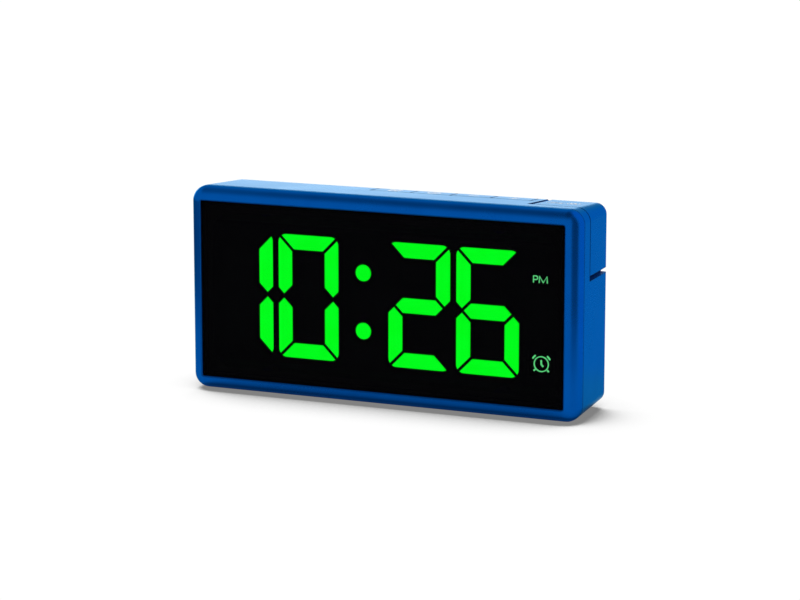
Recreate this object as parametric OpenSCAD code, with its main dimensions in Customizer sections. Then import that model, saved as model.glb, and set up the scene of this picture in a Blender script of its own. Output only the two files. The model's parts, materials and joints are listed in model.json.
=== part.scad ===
// Digital alarm clock with a light-up seven-segment display, four top keys and a corner snooze key.
// Frame: X to the right, Y to the back, Z up; the origin is under the middle, on the table.

/* [Display] */
// Width of one digit
digit_w = 23.5; // [20:0.1:26]
// Height of one digit
digit_h = 44.7; // [40:0.1:52]
// Thickness of a digit segment
segment_t = 5.3; // [4.4:0.1:6]
// Dark gap between neighbouring segments
segment_gap = 1.15; // [0.9:0.05:1.4]
// Rounding of a digit's outer corners
digit_r = 3; // [1.5:0.1:4]
// Distance of a bar's inner tip from the digit's outer edge
tip_offset = 2.1; // [1.6:0.1:2.6]
// Gap between the tips of the upper and lower bars
tip_gap = 1.7; // [1.4:0.1:2]
// Space between the two digits of a pair
digit_space = 2.4; // [1.6:0.05:4]
// Space between the pairs of digits, around the colon
colon_room = 19.5; // [17:0.1:24]
// Diameter of a colon dot
colon_d = 5.9; // [4.5:0.1:7]
// Distance between the two colon dots
colon_pitch = 20.9; // [18:0.1:26]
// Distance from the last digit to the middle of the small signs
sign_room = 8.1; // [7:0.1:10]
// Height of the afternoon letters
letter_h = 3.2; // [2.6:0.1:4]
// Width of the letter P
letter_p_w = 2; // [1.7:0.1:2.4]
// Width of the letter M
letter_m_w = 3.2; // [2.6:0.1:3.8]
// Space between the two letters
letter_space = 0.7; // [0.4:0.1:1]
// Height of the letters above the middle of the digits
letter_rise = 13; // [8:0.1:18]
// Diameter of the alarm sign's ring
sign_d = 5.8; // [5:0.1:6.4]
// Depth of the alarm sign below the middle of the digits
sign_drop = 16.6; // [12:0.1:18]
// Stroke of the letters and of the alarm sign
sign_stroke = 0.5; // [0.5:0.05:0.75]
// Dark border left of the digits
border_left = 4.3; // [3.8:0.1:10]
// Dark border from the middle of the small signs to the right edge
border_right = 9.3; // [9:0.1:16]
// Dark border below the digits
border_bottom = 9.4; // [8.4:0.1:14]
// Dark border above the digits
border_top = 10.4; // [8.4:0.1:14]

/* [Case] */
// Depth of the case
body_d = 33.6; // [30:0.2:38]
// Width of the bezel around the window, seen from the front
bezel_w = 5; // [3.8:0.1:5.5]
// Radius of the bezel's rounded front
bezel_r = 6; // [5.6:0.1:8]
// Corner radius of the window opening
window_corner_r = 0.6; // [0.4:0.05:1.5]
// Thickness of the side walls
wall = 2.2; // [1.8:0.1:2.6]
// Thickness of the rear wall
rear_wall = 2; // [1.8:0.1:2.6]
// Rounding of the rear edge
rear_edge_r = 1; // [0.5:0.1:1.6]
// How far each side of the case draws in towards the rear
rear_inset = 1.7; // [0.8:0.1:2]
// Straight side between the bezel's rounding and the parting line
seam_land = 0.6; // [0.2:0.1:2]
// Width of the parting line between frame and housing
seam_gap = 0.15; // [0.1:0.05:0.3]
// Thickness of the tongue that centres the frame in the housing
tongue_t = 1.2; // [0.8:0.1:1.4]
// Reach of that tongue into the housing
tongue_l = 2; // [1:0.1:3]
// Clearance between fixed pieces that slot together
fit_gap = 0.15; // [0.1:0.05:0.2]
// Clearance between a moving piece and a fixed one
run_gap = 0.3; // [0.25:0.05:0.4]
// Thickness of the ribs inside the case
rib_t = 1.4; // [1:0.1:2]

/* [Window] */
// Thickness of the window
lens_t = 2; // [1.5:0.1:2.5]
// Depth of the window's face behind the bezel's edge
lens_sink = 0.2; // [0.1:0.05:0.5]
// Chamfer round the window's face
lens_chamfer = 0.3; // [0.1:0.05:0.5]
// Chamfer on the bezel's inner edge
lip_chamfer = 0.3; // [0.1:0.05:0.5]
// Width of the ledge that the window is stuck to
ledge_w = 1.6; // [1.2:0.1:1.8]
// Thickness of that ledge
ledge_t = 1.5; // [1:0.1:2]
// Thickness of the adhesive tape
tape_t = 0.2; // [0.15:0.05:0.3]

/* [Light block] */
// Gap between the window and the light block
block_gap = 0.4; // [0.3:0.1:0.8]
// Depth of the light block
block_t = 6.6; // [6:0.1:8]
// Wall of the block above and below the digits
block_rim = 2.4; // [1.6:0.1:2.6]
// Wall of the block left of the first digit
block_side = 1.7; // [1.2:0.1:1.8]
// Thickness of the block's front skin over the pocket behind the colon
skin_t = 1; // [0.8:0.1:1.5]
// Height of the small signs above the face of their light guides
sign_relief = 0.4; // [0.2:0.1:0.8]
// Clearance of the light bars in their chambers
cell_gap = 0.05; // [0.03:0.01:0.1]
// Depth of the light bars
diffuser_t = 5.6; // [4:0.1:6]
// Diameter of the block's locating pins
locator_d = 2; // [1.5:0.1:3]
// Length of a lamp
led_l = 2; // [1.6:0.1:2.4]
// Width of a lamp
led_w = 1.3; // [1:0.1:1.6]
// Height of a lamp
led_h = 0.8; // [0.5:0.1:1]

/* [Keys] */
// Pitch of the top keys
key_pitch = 15.4; // [13:0.1:18]
// Depth of the top keys, from their front seam to the rear face
key_depth = 9; // [7.4:0.1:9]
// Width of the seams around the keys
key_gap = 0.4; // [0.3:0.05:0.6]
// Thickness of a key's top
key_t = 2; // [1.6:0.1:2.2]
// Thickness of a key's rear skirt
skirt_t = 1.6; // [1.2:0.1:1.8]
// Height of a key's rear skirt
skirt_h = 8; // [6:0.1:9]
// Open gap below the rear skirts
skirt_gap = 1.2; // [1:0.1:2]
// Thickness of the inner tab that guides a key along the rear wall
tab_t = 1.1; // [0.8:0.1:1.2]
// Reach of the tab below the skirt
tab_l = 3; // [2:0.1:4]
// Reach of the lip that stops a key under the top wall
lip_l = 1.2; // [0.8:0.1:2]
// Thickness of that lip
lip_t = 1; // [0.8:0.1:1.5]
// Width of the foot that presses the switch
post_w = 4; // [3:0.1:5]
// Strip of case between the last key and the snooze key's groove
key_strip = 3.4; // [2:0.1:4]

/* [Snooze key] */
// Width of the snooze key on the top
snooze_w = 21.9; // [20:0.1:26]
// Depth of the snooze key, from its front seam to the rear face
snooze_depth = 20.2; // [16:0.1:21]
// Height of the snooze key on the side
snooze_h = 24.3; // [18:0.1:26]
// Thickness of its shell
snooze_t = 1.8; // [1.5:0.1:2]
// Width of the groove left of it
snooze_groove = 1.8; // [0.6:0.1:2.2]
// Width of its front seam
snooze_seam = 0.45; // [0.3:0.05:0.8]
// Open gap below it
snooze_gap = 1.7; // [1.5:0.1:2.5]
// Press of the snooze key
snooze_travel = 1; // [0.5:0.1:1.1]
// Thickness of the tray under the snooze key
tray_t = 1.5; // [1.2:0.1:2]
// Distance of the switch foot from the key's left edge
snooze_post_x = 7.5; // [6:0.1:8]
// Distance of the snap legs from the key's two ends
leg_inset = 3.5; // [3.2:0.1:4]
// Width of a snap leg
leg_w = 3; // [2:0.1:3]
// Thickness of a snap leg
leg_t = 1.6; // [1.2:0.1:2]
// Overhang of the barb on a snap leg
barb_l = 0.9; // [0.6:0.1:1.2]
// Height of that barb
barb_h = 1.1; // [0.8:0.1:1.5]

/* [Switches] */
// Width of a key switch
switch_w = 6.2; // [5.6:0.1:7]
// Depth of a key switch, from the board
switch_depth = 6; // [5.4:0.1:6.2]
// Height of a key switch
switch_h = 4.4; // [4:0.1:5]
// Distance from the top of the case down to the switches
switch_drop = 9.4; // [9:0.1:10.5]
// Diameter of a switch plunger
plunger_d = 3.2; // [2.6:0.1:3.4]
// Length of a plunger outside its switch
plunger_proud = 2.4; // [2:0.1:2.8]
// Overhang of the collar that keeps a plunger in its switch
collar_w = 0.7; // [0.5:0.1:0.8]
// Thickness of that collar
collar_t = 0.6; // [0.4:0.1:0.8]
// Thickness of the switch's lid over the collar
switch_lid = 0.8; // [0.6:0.1:1]

/* [Boards] */
// Thickness of the circuit boards
board_t = 1.6; // [1.2:0.1:1.6]
// Distance of the display board from the top and underside of the case
board_inset = 5; // [4.6:0.1:5.4]
// Distance of the control board from the underside of the case
control_rise = 11; // [10:0.1:12]
// Distance between a control board post and the edge of the board
post_inset = 4; // [3.5:0.1:5]
// Diameter of a control board post
stand_d = 5.6; // [5:0.1:6.5]
// Distance of the front edge of the keys behind the control board
board_setback = 2.2; // [2:0.1:2.6]
// Pitch of the pins that link the boards
link_pitch = 2.54; // [2:0.01:2.54]
// Thickness of a pin
pin_t = 0.6; // [0.5:0.05:0.7]
// Height of the base of the pin strip
link_base = 1.6; // [1.2:0.1:2]
// Height of the socket behind the control board
socket_h = 3.2; // [2.6:0.1:4]
// Length of a soldered foot of the socket
link_foot = 0.8; // [0.6:0.1:1]
// Width of the pin strip
link_w = 2.6; // [2.2:0.1:3]

/* [Components] */
// Length of the control chip
chip_w = 10; // [9.5:0.1:12]
// Width of the control chip
chip_h = 7.4; // [5:0.1:8]
// Thickness of the control chip
chip_t = 2.2; // [1.6:0.1:2.6]
// Reach of a chip lead
lead_l = 1.4; // [1:0.1:1.8]
// Width of a chip lead
lead_w = 0.5; // [0.35:0.05:0.6]
// Thickness of a chip lead
lead_t = 0.3; // [0.2:0.05:0.4]
// Pitch of the chip leads
lead_pitch = 1.27; // [1:0.01:1.27]
// Length of the crystal's can
crystal_w = 10; // [8:0.1:11]
// Width of the crystal's can
crystal_h = 3.8; // [3.2:0.1:4.2]
// Height of the crystal's can
crystal_t = 3.5; // [3:0.1:5]
// Distance of the crystal above the middle of the case
crystal_rise = 8; // [7.5:0.1:10]
// Height of the smoothing capacitor above the underside of the case
capacitor_z = 19; // [18:0.1:21]
// Diameter of the smoothing capacitor
capacitor_d = 6.3; // [5:0.1:7]
// Length of the smoothing capacitor
capacitor_l = 6.6; // [5:0.1:7]
// Radius of the groove round the capacitor's foot
groove_r = 0.35; // [0.2:0.05:0.5]

/* [Screws] */
// Diameter of the screws
screw_d = 2.4; // [2:0.1:2.6]
// Diameter of a screw head
head_d = 4.4; // [4:0.1:4.6]
// Height of a screw head
head_h = 1.6; // [1.2:0.1:2]
// Diameter of a screw boss on the frame
boss_d = 5.2; // [4.8:0.1:5.6]
// Distance of the case screws from the outside of the case
boss_inset = 6.2; // [5.8:0.1:6.8]
// Diameter of the housing's screw towers
tower_d = 6.8; // [6.4:0.1:7.4]
// Length of the tower below the screw head
tower_floor = 3; // [2:0.1:4]
// Distance of the display board screws from the middle of the case
board_boss_x = 45; // [38:0.5:50]
// Distance of the display board screws from the outside of the case
board_boss_inset = 7.2; // [7:0.1:7.6]

/* [Battery] */
// Diameter of the coin cell
cell_d = 20; // [16:0.1:24]
// Thickness of the coin cell
cell_t = 3.2; // [2:0.1:3.6]
// Inset of the cell's cap from its rim
cap_inset = 1.4; // [0.8:0.1:2]
// Height of the cell's cap
cap_h = 0.3; // [0.2:0.05:0.5]
// Distance of the battery from the middle of the case, to the left
battery_x = 36; // [32:0.5:44]
// Thickness of the contact strips
contact_t = 0.3; // [0.2:0.05:0.4]
// Width of the contact strips
contact_w = 5; // [3:0.1:6]
// Height of the cell above the control board
cell_lift = 1.2; // [1:0.1:1.5]
// Thickness of the twist cover's disc
cover_t = 1.3; // [1:0.1:1.5]
// Thickness of the cover's hub ring
hub_t = 1.8; // [1.4:0.1:2.4]
// Overhang of the cover's disc past the hub
cover_rim = 2.4; // [2:0.1:3]
// Overhang of the locking lugs past the hub
lug_l = 1.6; // [1.2:0.1:1.8]
// Thickness of the locking lugs
lug_t = 1.2; // [0.8:0.1:1.4]
// Angle that a locking lug spans
lug_angle = 30; // [20:1:36]
// Extra angle of the gates that let the lugs out
gate_slack = 8; // [4:1:12]
// Turn that frees the cover
unlock_angle = 60; // [55:1:75]
// Thickness of the ring that the lugs lock behind
catch_t = 1.2; // [1:0.1:1.5]
// Thickness of the well's wall
well_t = 1.6; // [1.2:0.1:2]
// Length of the coin slot
slot_l = 13.5; // [10:0.1:18]
// Width of the coin slot
slot_w = 2.2; // [1.6:0.1:2.6]
// Depth of the coin slot
slot_t = 0.8; // [0.5:0.05:0.9]

/* [Power and sound] */
// Place of the power inlet, right of the middle
usb_x = 0; // [-8:0.5:10]
// Height of the power inlet above the underside of the case
usb_z = 17; // [16:0.1:20]
// Width of the inlet's metal shell
usb_w = 8.9; // [8.9:0.1:10]
// Height of that shell
usb_h = 3.2; // [3:0.1:3.6]
// Thickness of that shell
usb_t = 0.3; // [0.25:0.05:0.4]
// Thickness of the inlet's contact tongue
usb_tongue_t = 0.7; // [0.6:0.05:0.8]
// Width of that tongue
usb_tongue_w = 6.7; // [6:0.1:6.9]
// Depth of the tongue inside the mouth
usb_tongue_sink = 0.9; // [0.6:0.1:1.5]
// Height of the inlet's foot on the board
usb_foot = 2; // [1.5:0.1:3]
// Depth of the inlet's mouth behind the rear face
usb_sink = 0.8; // [0.6:0.1:1.2]
// Border of the recess round the inlet
usb_border = 1.8; // [1.2:0.1:2.5]
// Place of the buzzer, right of the middle
buzzer_x = 34; // [30:0.5:40]
// Height of the buzzer above the underside of the case
buzzer_z = 32; // [28:0.5:36]
// Diameter of the buzzer
buzzer_d = 12; // [10:0.5:14]
// Height of the buzzer
buzzer_h = 6.5; // [5:0.1:7]
// Diameter of a sound hole
sound_d = 1.6; // [1.2:0.1:2]
// Radius of the ring of sound holes
sound_ring_r = 3.6; // [3:0.1:5]

/* [Feet] */
// Diameter of a foot pad
foot_d = 7; // [5:0.1:8.4]
// Thickness of a foot pad
foot_t = 1.2; // [1:0.1:1.4]
// Height of a foot pad below the case
foot_proud = 0.6; // [0.4:0.1:0.8]
// Distance of the pads from the sides of the case
foot_inset = 16; // [14:0.5:24]
// Distance of the rear pads' edges from the rear face
foot_margin = 1.6; // [1.4:0.1:2]

/* [Hidden] */
$fn = 48;

case_blue = [0.01, 0.31, 0.61];
dark_plastic = [0.06, 0.06, 0.07];
lit_green = [0, 1, 0.12];
pale_green = [0.45, 0.95, 0.55];
board_green = [0.05, 0.3, 0.15];
steel = [0.75, 0.76, 0.78];
// How far a cutting shape reaches past the face that it opens
cut = 1;
// How deep one shape sinks into another that it is joined to
bond = 0.4;
// How far a rounding's circle stands outside the faces it joins, as a part of its radius
lap = 0.01;
// Segments that glow in each digit, left to right
shown = ["bc", "abcdef", "abdeg", "acdefg"];
segment_names = "abcdefg";

// Outline of the case, worked out from the display and its borders
digits_w = 4 * digit_w + 2 * digit_space + colon_room;
window_w = border_left + digits_w + sign_room + border_right;
window_h = border_bottom + digit_h + border_top;
body_w = window_w + 2 * bezel_w;
body_h = window_h + 2 * bezel_w;
half_w = body_w / 2;
corner_r = bezel_w + window_corner_r;
base_z = foot_proud;
top_z = base_z + body_h;
mid_z = base_z + body_h / 2;
// Height of the top at the rear, where the case has drawn in
deck_z = top_z - rear_inset;

// Depths behind the front of the case
crest_w = bezel_w - lip_chamfer;
bezel_drop = sqrt(bezel_r * bezel_r - (bezel_r - crest_w) * (bezel_r - crest_w));
seam_at = bezel_drop + seam_land;
lens_back = lens_sink + lens_t;
ledge_front = lens_back + tape_t;
ledge_back = ledge_front + ledge_t;
tongue_out = wall + fit_gap;
tongue_in = tongue_out + tongue_t;
tongue_end = seam_at + tongue_l;
block_front = lens_back + block_gap;
block_back = block_front + block_t;
display_back = block_back + board_t;
boss_end = display_back + bond;
tower_front = boss_end + fit_gap;
rear_in = body_d - rear_wall;
key_front = body_d - key_depth;
control_back = key_front - board_setback;
control_front = control_back - board_t;

// Places on the display
first_x = -half_w + bezel_w + border_left + digit_w / 2;
pair_x = first_x + 2 * digit_w + digit_space + colon_room;
digit_x = [first_x, first_x + digit_w + digit_space, pair_x, pair_x + digit_w + digit_space];
colon_x = (digit_x[1] + digit_x[2]) / 2;
digits_z = base_z + bezel_w + border_bottom + digit_h / 2;
sign_x = digit_x[3] + digit_w / 2 + sign_room;
letter_z = digits_z + letter_rise;
alarm_z = digits_z - sign_drop;
letter_w = letter_p_w + letter_space + letter_m_w;
sign_w = sign_d + 4 * sign_stroke;
// Border of a small sign on its light guide
sign_wall = 0.8;

// Places of the keys
snooze_left = half_w - snooze_w;
snooze_front = body_d - snooze_depth;
snooze_low = top_z - snooze_h;
tray_left = snooze_left - snooze_groove;
tray_front = snooze_front - snooze_seam;
tray_low = snooze_low - snooze_gap;
tray_x = half_w - rear_inset - snooze_t - run_gap;
tray_z = deck_z - snooze_t - snooze_travel - run_gap;
row_right = tray_left - key_strip;
row_left = row_right - 4 * key_pitch;
key_x = [for (i = [0:3]) row_left + (i + 0.5) * key_pitch];
switch_x = concat(key_x, [snooze_left + snooze_post_x]);
switch_top = deck_z - switch_drop;
plunger_top = switch_top + plunger_proud;
switch_y = control_back + switch_depth / 2 + fit_gap;
snooze_inner_r = corner_r - snooze_t;
leg_y = snooze_front + leg_inset;
leg_x = [snooze_left + leg_inset, tray_x - tray_t - leg_inset];

// Screw places, as [x, z]
tower_side_z = tray_low - tray_t - tower_d / 2 - cut;
case_points = [
    [-half_w + boss_inset, base_z + boss_inset],
    [half_w - boss_inset, base_z + boss_inset],
    [-half_w + boss_inset, top_z - boss_inset],
    [half_w - boss_inset, tower_side_z]
];
board_points = [for (x = [-1, 1], z = [base_z + board_boss_inset, top_z - board_boss_inset])
    [x * board_boss_x, z]];
display_half_w = half_w - boss_inset - boss_d / 2 - run_gap;

// Battery places
cell_x = -battery_x;
cell_z = mid_z;
cell_front = control_back + cell_lift;
cell_back = cell_front + cell_t;
hub_r = cell_d / 2 + bond;
cover_r = hub_r + cover_rim;
lug_r = hub_r + lug_l;
well_r = lug_r + run_gap;
well_out = max(well_r, cover_r + run_gap) + well_t;
catch_back = body_d - cover_t - run_gap;
catch_front = catch_back - catch_t;
lug_back = catch_front - run_gap;

// Control board outline and posts
control_left = cell_x - well_out - stand_d - post_inset;
control_right = half_w - boss_inset - tower_d / 2 - run_gap;
control_low = base_z + control_rise;
control_high = switch_top + bond;
stand_high = switch_top - switch_h - stand_d / 2 - bond;
control_points = [
    [control_left + post_inset, control_low + post_inset],
    [control_left + post_inset, stand_high],
    [control_right - post_inset, control_low + post_inset],
    [switch_x[3] + key_pitch / 2, stand_high]
];
link_z = control_low + link_w;
locator_z = [digits_z - colon_pitch / 2 - colon_d, digits_z + colon_pitch / 2 + colon_d];
link_right = usb_x - usb_w / 2 - bond - run_gap;
link_mid = link_right - 4 * link_pitch;
link_x = [for (i = [0:7]) link_mid + (i - 3.5) * link_pitch];

// Foot places
foot_front = seam_at + seam_gap + foot_margin + foot_d / 2;
foot_rear = body_d - foot_margin - foot_d / 2;

// Y of a point that lies d behind the front of the case
function yf(d) = d - body_d / 2;

// How far the case has drawn in at a depth behind the parting line
function lean(d) = rear_inset * (d - seam_at) / (body_d - seam_at);

// Outline drawn in X and Z, stretched from one depth to another
module slab(front, back) {
    translate([0, yf(back), 0])
        rotate([90, 0, 0])
            linear_extrude(back - front)
                children();
}

// Block between two X values, two depths and two heights
module block(x, d, z) {
    translate([x[0], yf(d[0]), z[0]])
        cube([x[1] - x[0], d[1] - d[0], z[1] - z[0]]);
}

// Round bar along Y
module rod(x, z, r, front, back) {
    translate([x, yf(back), z])
        rotate([90, 0, 0])
            cylinder(r = r, h = back - front);
}

// Rectangle round the middle of the case
module middle(w, h) {
    translate([0, mid_z])
        square([w, h], center = true);
}

// Rectangle with round corners
module rounded(w, h, r) {
    square([w - 2 * r, h], center = true);
    square([w, h - 2 * r], center = true);
    for (x = [-1, 1], y = [-1, 1])
        translate([x * (w / 2 - r), y * (h / 2 - r)])
            circle(r);
}

// Rectangle whose upper right corner is round
module round_corner(left, right, low, high, r) {
    translate([left, low])
        square([right - left - r, high - low]);
    translate([left, low])
        square([right - left, high - low - r]);
    translate([right - r, high - r])
        circle(r);
}

// Sweeps a section round the case outline: section X is inwards from the side, Y is behind the front
module around() {
    translate([0, yf(0), mid_z])
        rotate([-90, 0, 0])
            for (k = [0:3]) {
                across = k % 2 == 1 ? body_h : body_w;
                along = k % 2 == 1 ? body_w : body_h;
                rotate([0, 0, 90 * k]) {
                    translate([across / 2, 0, 0])
                        rotate([90, 0, 0])
                            linear_extrude(along - 2 * corner_r, center = true)
                                mirror([1, 0])
                                    children();
                    translate([across / 2 - corner_r, along / 2 - corner_r, 0])
                        rotate_extrude(angle = 90)
                            translate([corner_r, 0])
                                mirror([1, 0])
                                    children();
                }
            }
}

// Section of the bezel: rounded outside, lens seat inside, tongue at the back
module frame_section() {
    difference() {
        polygon([
            [0, -cut], [crest_w - cut, -cut], [bezel_w, lip_chamfer], [bezel_w, ledge_back],
            [tongue_in, ledge_back], [tongue_in, tongue_end], [tongue_out, tongue_end],
            [tongue_out, seam_at], [0, seam_at]
        ]);
        difference() {
            translate([-cut, -2 * cut])
                square([bezel_w + cut, bezel_drop + 2 * cut]);
            translate([bezel_r, bezel_drop])
                circle(bezel_r);
        }
    }
}

// Section of the case wall behind the parting line, with the rounded rear edge
module housing_section() {
    difference() {
        polygon([
            [lean(seam_at + seam_gap), seam_at + seam_gap], [wall, seam_at + seam_gap],
            [wall, tongue_end + fit_gap], [wall + lean(rear_in), rear_in],
            [bezel_w, rear_in], [bezel_w, body_d], [lean(body_d), body_d]
        ]);
        rear_rounding();
    }
}

// Section of the whole edge of the case, to cut keys from
module solid_section() {
    difference() {
        polygon([[0, seam_at], [bezel_w, seam_at], [bezel_w, body_d], [lean(body_d), body_d]]);
        rear_rounding();
    }
}

module rear_rounding() {
    middle_d = body_d - rear_edge_r;
    reach = 2 * rear_edge_r;
    translate([lean(middle_d) + rear_edge_r * (1 - lap), middle_d + rear_edge_r * lap])
        difference() {
            translate([-reach, (lean(body_d) - lean(middle_d)) - rear_edge_r * lap])
                square([reach, reach]);
            circle(rear_edge_r);
        }
}

// The case as one solid
module case_solid() {
    around()
        solid_section();
    slab(seam_at, body_d)
        middle(body_w - 2 * bezel_w + bond, body_h - 2 * bezel_w + bond);
}

// The case without the outer half of its walls
module case_core() {
    back = body_d - rear_wall / 2;
    around()
        polygon([[wall / 2, seam_at], [bezel_w, seam_at], [bezel_w, back], [wall / 2 + lean(back), back]]);
    slab(seam_at, back)
        middle(body_w - 2 * bezel_w + bond, body_h - 2 * bezel_w + bond);
}

// Segment of a digit, enlarged by grow on every side
module segment(name, grow) {
    hw = digit_w / 2 + grow;
    hh = digit_h / 2 + grow;
    t = segment_t + 2 * grow;
    mitre = (segment_gap - 2 * grow) / sqrt(2);
    tip = tip_offset + grow;
    tip_z = tip_gap / 2 - grow * sqrt(2);
    bar_x = hw - tip - 2 * mitre + tip_z;
    low = name == "d" || name == "c" || name == "e";
    left = name == "f" || name == "e";
    mirror([left ? 1 : 0, 0])
        mirror([0, low ? 1 : 0])
            if (name == "g")
                polygon([
                    [-bar_x, 0], [t / 2 - bar_x, t / 2], [bar_x - t / 2, t / 2],
                    [bar_x, 0], [bar_x - t / 2, -t / 2], [t / 2 - bar_x, -t / 2]
                ]);
            else
                intersection() {
                    rounded(2 * hw, 2 * hh, digit_r + grow);
                    if (name == "a" || name == "d")
                        polygon([
                            [mitre - hw, hh], [hw - mitre, hh],
                            [hw - t - mitre, hh - t], [t + mitre - hw, hh - t]
                        ]);
                    else
                        polygon([
                            [hw, hh - mitre], [hw, tip_z + tip], [hw - tip, tip_z],
                            [hw - t, tip_z + t - tip], [hw - t, hh - t - mitre]
                        ]);
                }
}

function glows(i, name) = len(search(name, shown[i])) > 0;

// The segments of all digits that glow, or those that don't
module segments(lit, grow) {
    for (i = [0:3], name = segment_names)
        if (glows(i, name) == lit)
            translate([digit_x[i], digits_z])
                segment(name, grow);
}

// Letter P with its corner at the origin
module letter_p(w, h, s) {
    bowl_r = 0.31 * h;
    square([s, h]);
    difference() {
        union() {
            translate([w - bowl_r, h - bowl_r])
                circle(bowl_r);
            translate([0, h - 2 * bowl_r])
                square([w - bowl_r, 2 * bowl_r]);
        }
        translate([w - bowl_r, h - bowl_r])
            circle(bowl_r - s);
        translate([s, h - 2 * bowl_r + s])
            square([w - bowl_r - s, 2 * bowl_r - 2 * s]);
    }
}

// Letter M with its corner at the origin
module letter_m(w, h, s) {
    polygon([
        [0, 0], [0, h], [s, h], [w / 2, 1.4 * s], [w - s, h], [w, h], [w, 0], [w - s, 0],
        [w - s, h - 2.2 * s], [w / 2 + s / 3, 0], [w / 2 - s / 3, 0], [s, h - 2.2 * s], [s, 0]
    ]);
}

module letters() {
    translate([sign_x - letter_w / 2, letter_z - letter_h / 2]) {
        letter_p(letter_p_w, letter_h, sign_stroke);
        translate([letter_p_w + letter_space, 0])
            letter_m(letter_m_w, letter_h, sign_stroke);
    }
}

// Alarm sign: ring, two hands, two bells and two legs
module alarm_sign() {
    r = sign_d / 2;
    s = sign_stroke;
    translate([sign_x, alarm_z]) {
        difference() {
            circle(r);
            circle(r - s);
        }
        translate([-s / 2, -s / 2])
            square([s, r - 2 * s]);
        rotate(-135)
            translate([-s / 2, -s / 2])
                square([s, r / 2]);
        for (side = [-1, 1]) {
            rotate(side * 140)
                translate([-s / 2, r - s / 2])
                    square([s, 2 * s]);
            rotate(side * 42)
                intersection() {
                    difference() {
                        circle(r + 1.9 * s);
                        circle(r + 0.7 * s);
                    }
                    translate([-2 * s, 0])
                        square([4 * s, 2 * r]);
                }
        }
    }
}

// Light guide of a small sign, less a clearance
module sign_cell(z, w, h, gap) {
    translate([sign_x, z])
        square([w + 2 * sign_wall - 2 * gap, h + 2 * sign_wall - 2 * gap], center = true);
}

module front_frame() {
    color(case_blue)
        difference() {
            union() {
                around()
                    frame_section();
                slab(ledge_front, ledge_back)
                    difference() {
                        middle(window_w + bond, window_h + bond);
                        middle(window_w - 2 * ledge_w, window_h - 2 * ledge_w);
                    }
                for (p = case_points)
                    rod(p[0], p[1], boss_d / 2, ledge_front, boss_end);
                for (p = board_points) {
                    rod(p[0], p[1], boss_d / 2, ledge_front, block_back);
                    outer_z = p[1] < mid_z ? base_z + tongue_in - bond : top_z - tongue_in + bond;
                    block(
                        [p[0] - rib_t / 2, p[0] + rib_t / 2], [ledge_front + bond, tongue_end],
                        [min(outer_z, p[1]), max(outer_z, p[1])]
                    );
                }
            }
            for (p = case_points)
                rod(p[0], p[1], screw_d / 2 + cell_gap, ledge_back, boss_end + cut);
            for (p = board_points)
                rod(p[0], p[1], screw_d / 2 + cell_gap, ledge_back, block_back + cut);
        }
}

// Hollow of the case around the snooze key, with a tray below the key
module snooze_tray() {
    difference() {
        intersection() {
            case_core();
            block(
                [tray_left - tray_t, half_w], [tray_front - tray_t, body_d],
                [tray_low - tray_t, top_z]
            );
        }
        block(
            [tray_left - tray_t - cut, tray_x - tray_t], [tray_front - tray_t - cut, body_d],
            [tray_low - tray_t - cut, tray_z - tray_t]
        );
    }
}

module snooze_pocket() {
    difference() {
        block([tray_left, half_w + cut], [tray_front, body_d + cut], [tray_low, top_z + cut]);
        slab(tray_front - cut, body_d + 2 * cut)
            round_corner(tray_left - cut, tray_x, tray_low - cut, tray_z, snooze_inner_r - run_gap);
    }
    block(
        [switch_x[4] - post_w / 2 - run_gap, switch_x[4] + post_w / 2 + run_gap],
        [switch_y - plunger_d / 2 - run_gap, switch_y + plunger_d / 2 + run_gap],
        [tray_z - tray_t - cut, tray_z + cut]
    );
    for (x = leg_x)
        block(
            [x - leg_w / 2 - run_gap, x + leg_w / 2 + run_gap],
            [leg_y - run_gap, leg_y + leg_t + run_gap],
            [tray_z - tray_t - cut, tray_z + cut]
        );
}

// Opening in the top and rear walls for the row of keys
module key_opening() {
    x = [row_left - key_gap / 2, row_right + key_gap / 2];
    block(x, [key_front - key_gap / 2, body_d + cut], [deck_z - wall - cut, top_z + cut]);
    block(x, [rear_in - cut, body_d + cut], [deck_z - skirt_h - skirt_gap, top_z + cut]);
}

// Screw tower on the rear wall, joined to the nearest walls by ribs
module tower(p) {
    reach = half_w - rear_inset - bond / 2;
    side_x = p[0] < 0 ? -reach : reach;
    rod(p[0], p[1], tower_d / 2, tower_front, rear_in + bond);
    block(
        [min(p[0], side_x), max(p[0], side_x)], [tower_front, rear_in + bond],
        [p[1] - rib_t / 2, p[1] + rib_t / 2]
    );
}

module battery_well() {
    difference() {
        rod(cell_x, cell_z, well_out, control_back + bond, rear_in + bond);
        rod(cell_x, cell_z, well_r, control_back, catch_front);
    }
    for (a = [45:90:315])
        translate([cell_x, 0, cell_z])
            rotate([0, a, 0])
                block(
                    [cell_d / 2 + fit_gap, well_r + bond], [control_back + bond, cell_back],
                    [-rib_t / 2, rib_t / 2]
                );
}

// Throat, seat and lug gates of the battery cover
module battery_mouth() {
    rod(cell_x, cell_z, cover_r + run_gap, catch_back, body_d + cut);
    rod(cell_x, cell_z, hub_r + run_gap, catch_front - cut, body_d + cut);
    for (a = [0, 180])
        translate([cell_x, yf(catch_front) - cut, cell_z])
            rotate([-90, 0, 0])
                rotate([0, 0, a + unlock_angle - (lug_angle + gate_slack) / 2])
                    rotate_extrude(angle = lug_angle + gate_slack)
                        translate([hub_r - cut, 0])
                            square([well_r - hub_r + cut, catch_t + 2 * cut]);
}

module usb_outline(gap) {
    translate([usb_x, base_z + usb_z])
        rounded(usb_w + 2 * gap, usb_h + 2 * gap, usb_h / 2 + gap - cell_gap);
}

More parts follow.
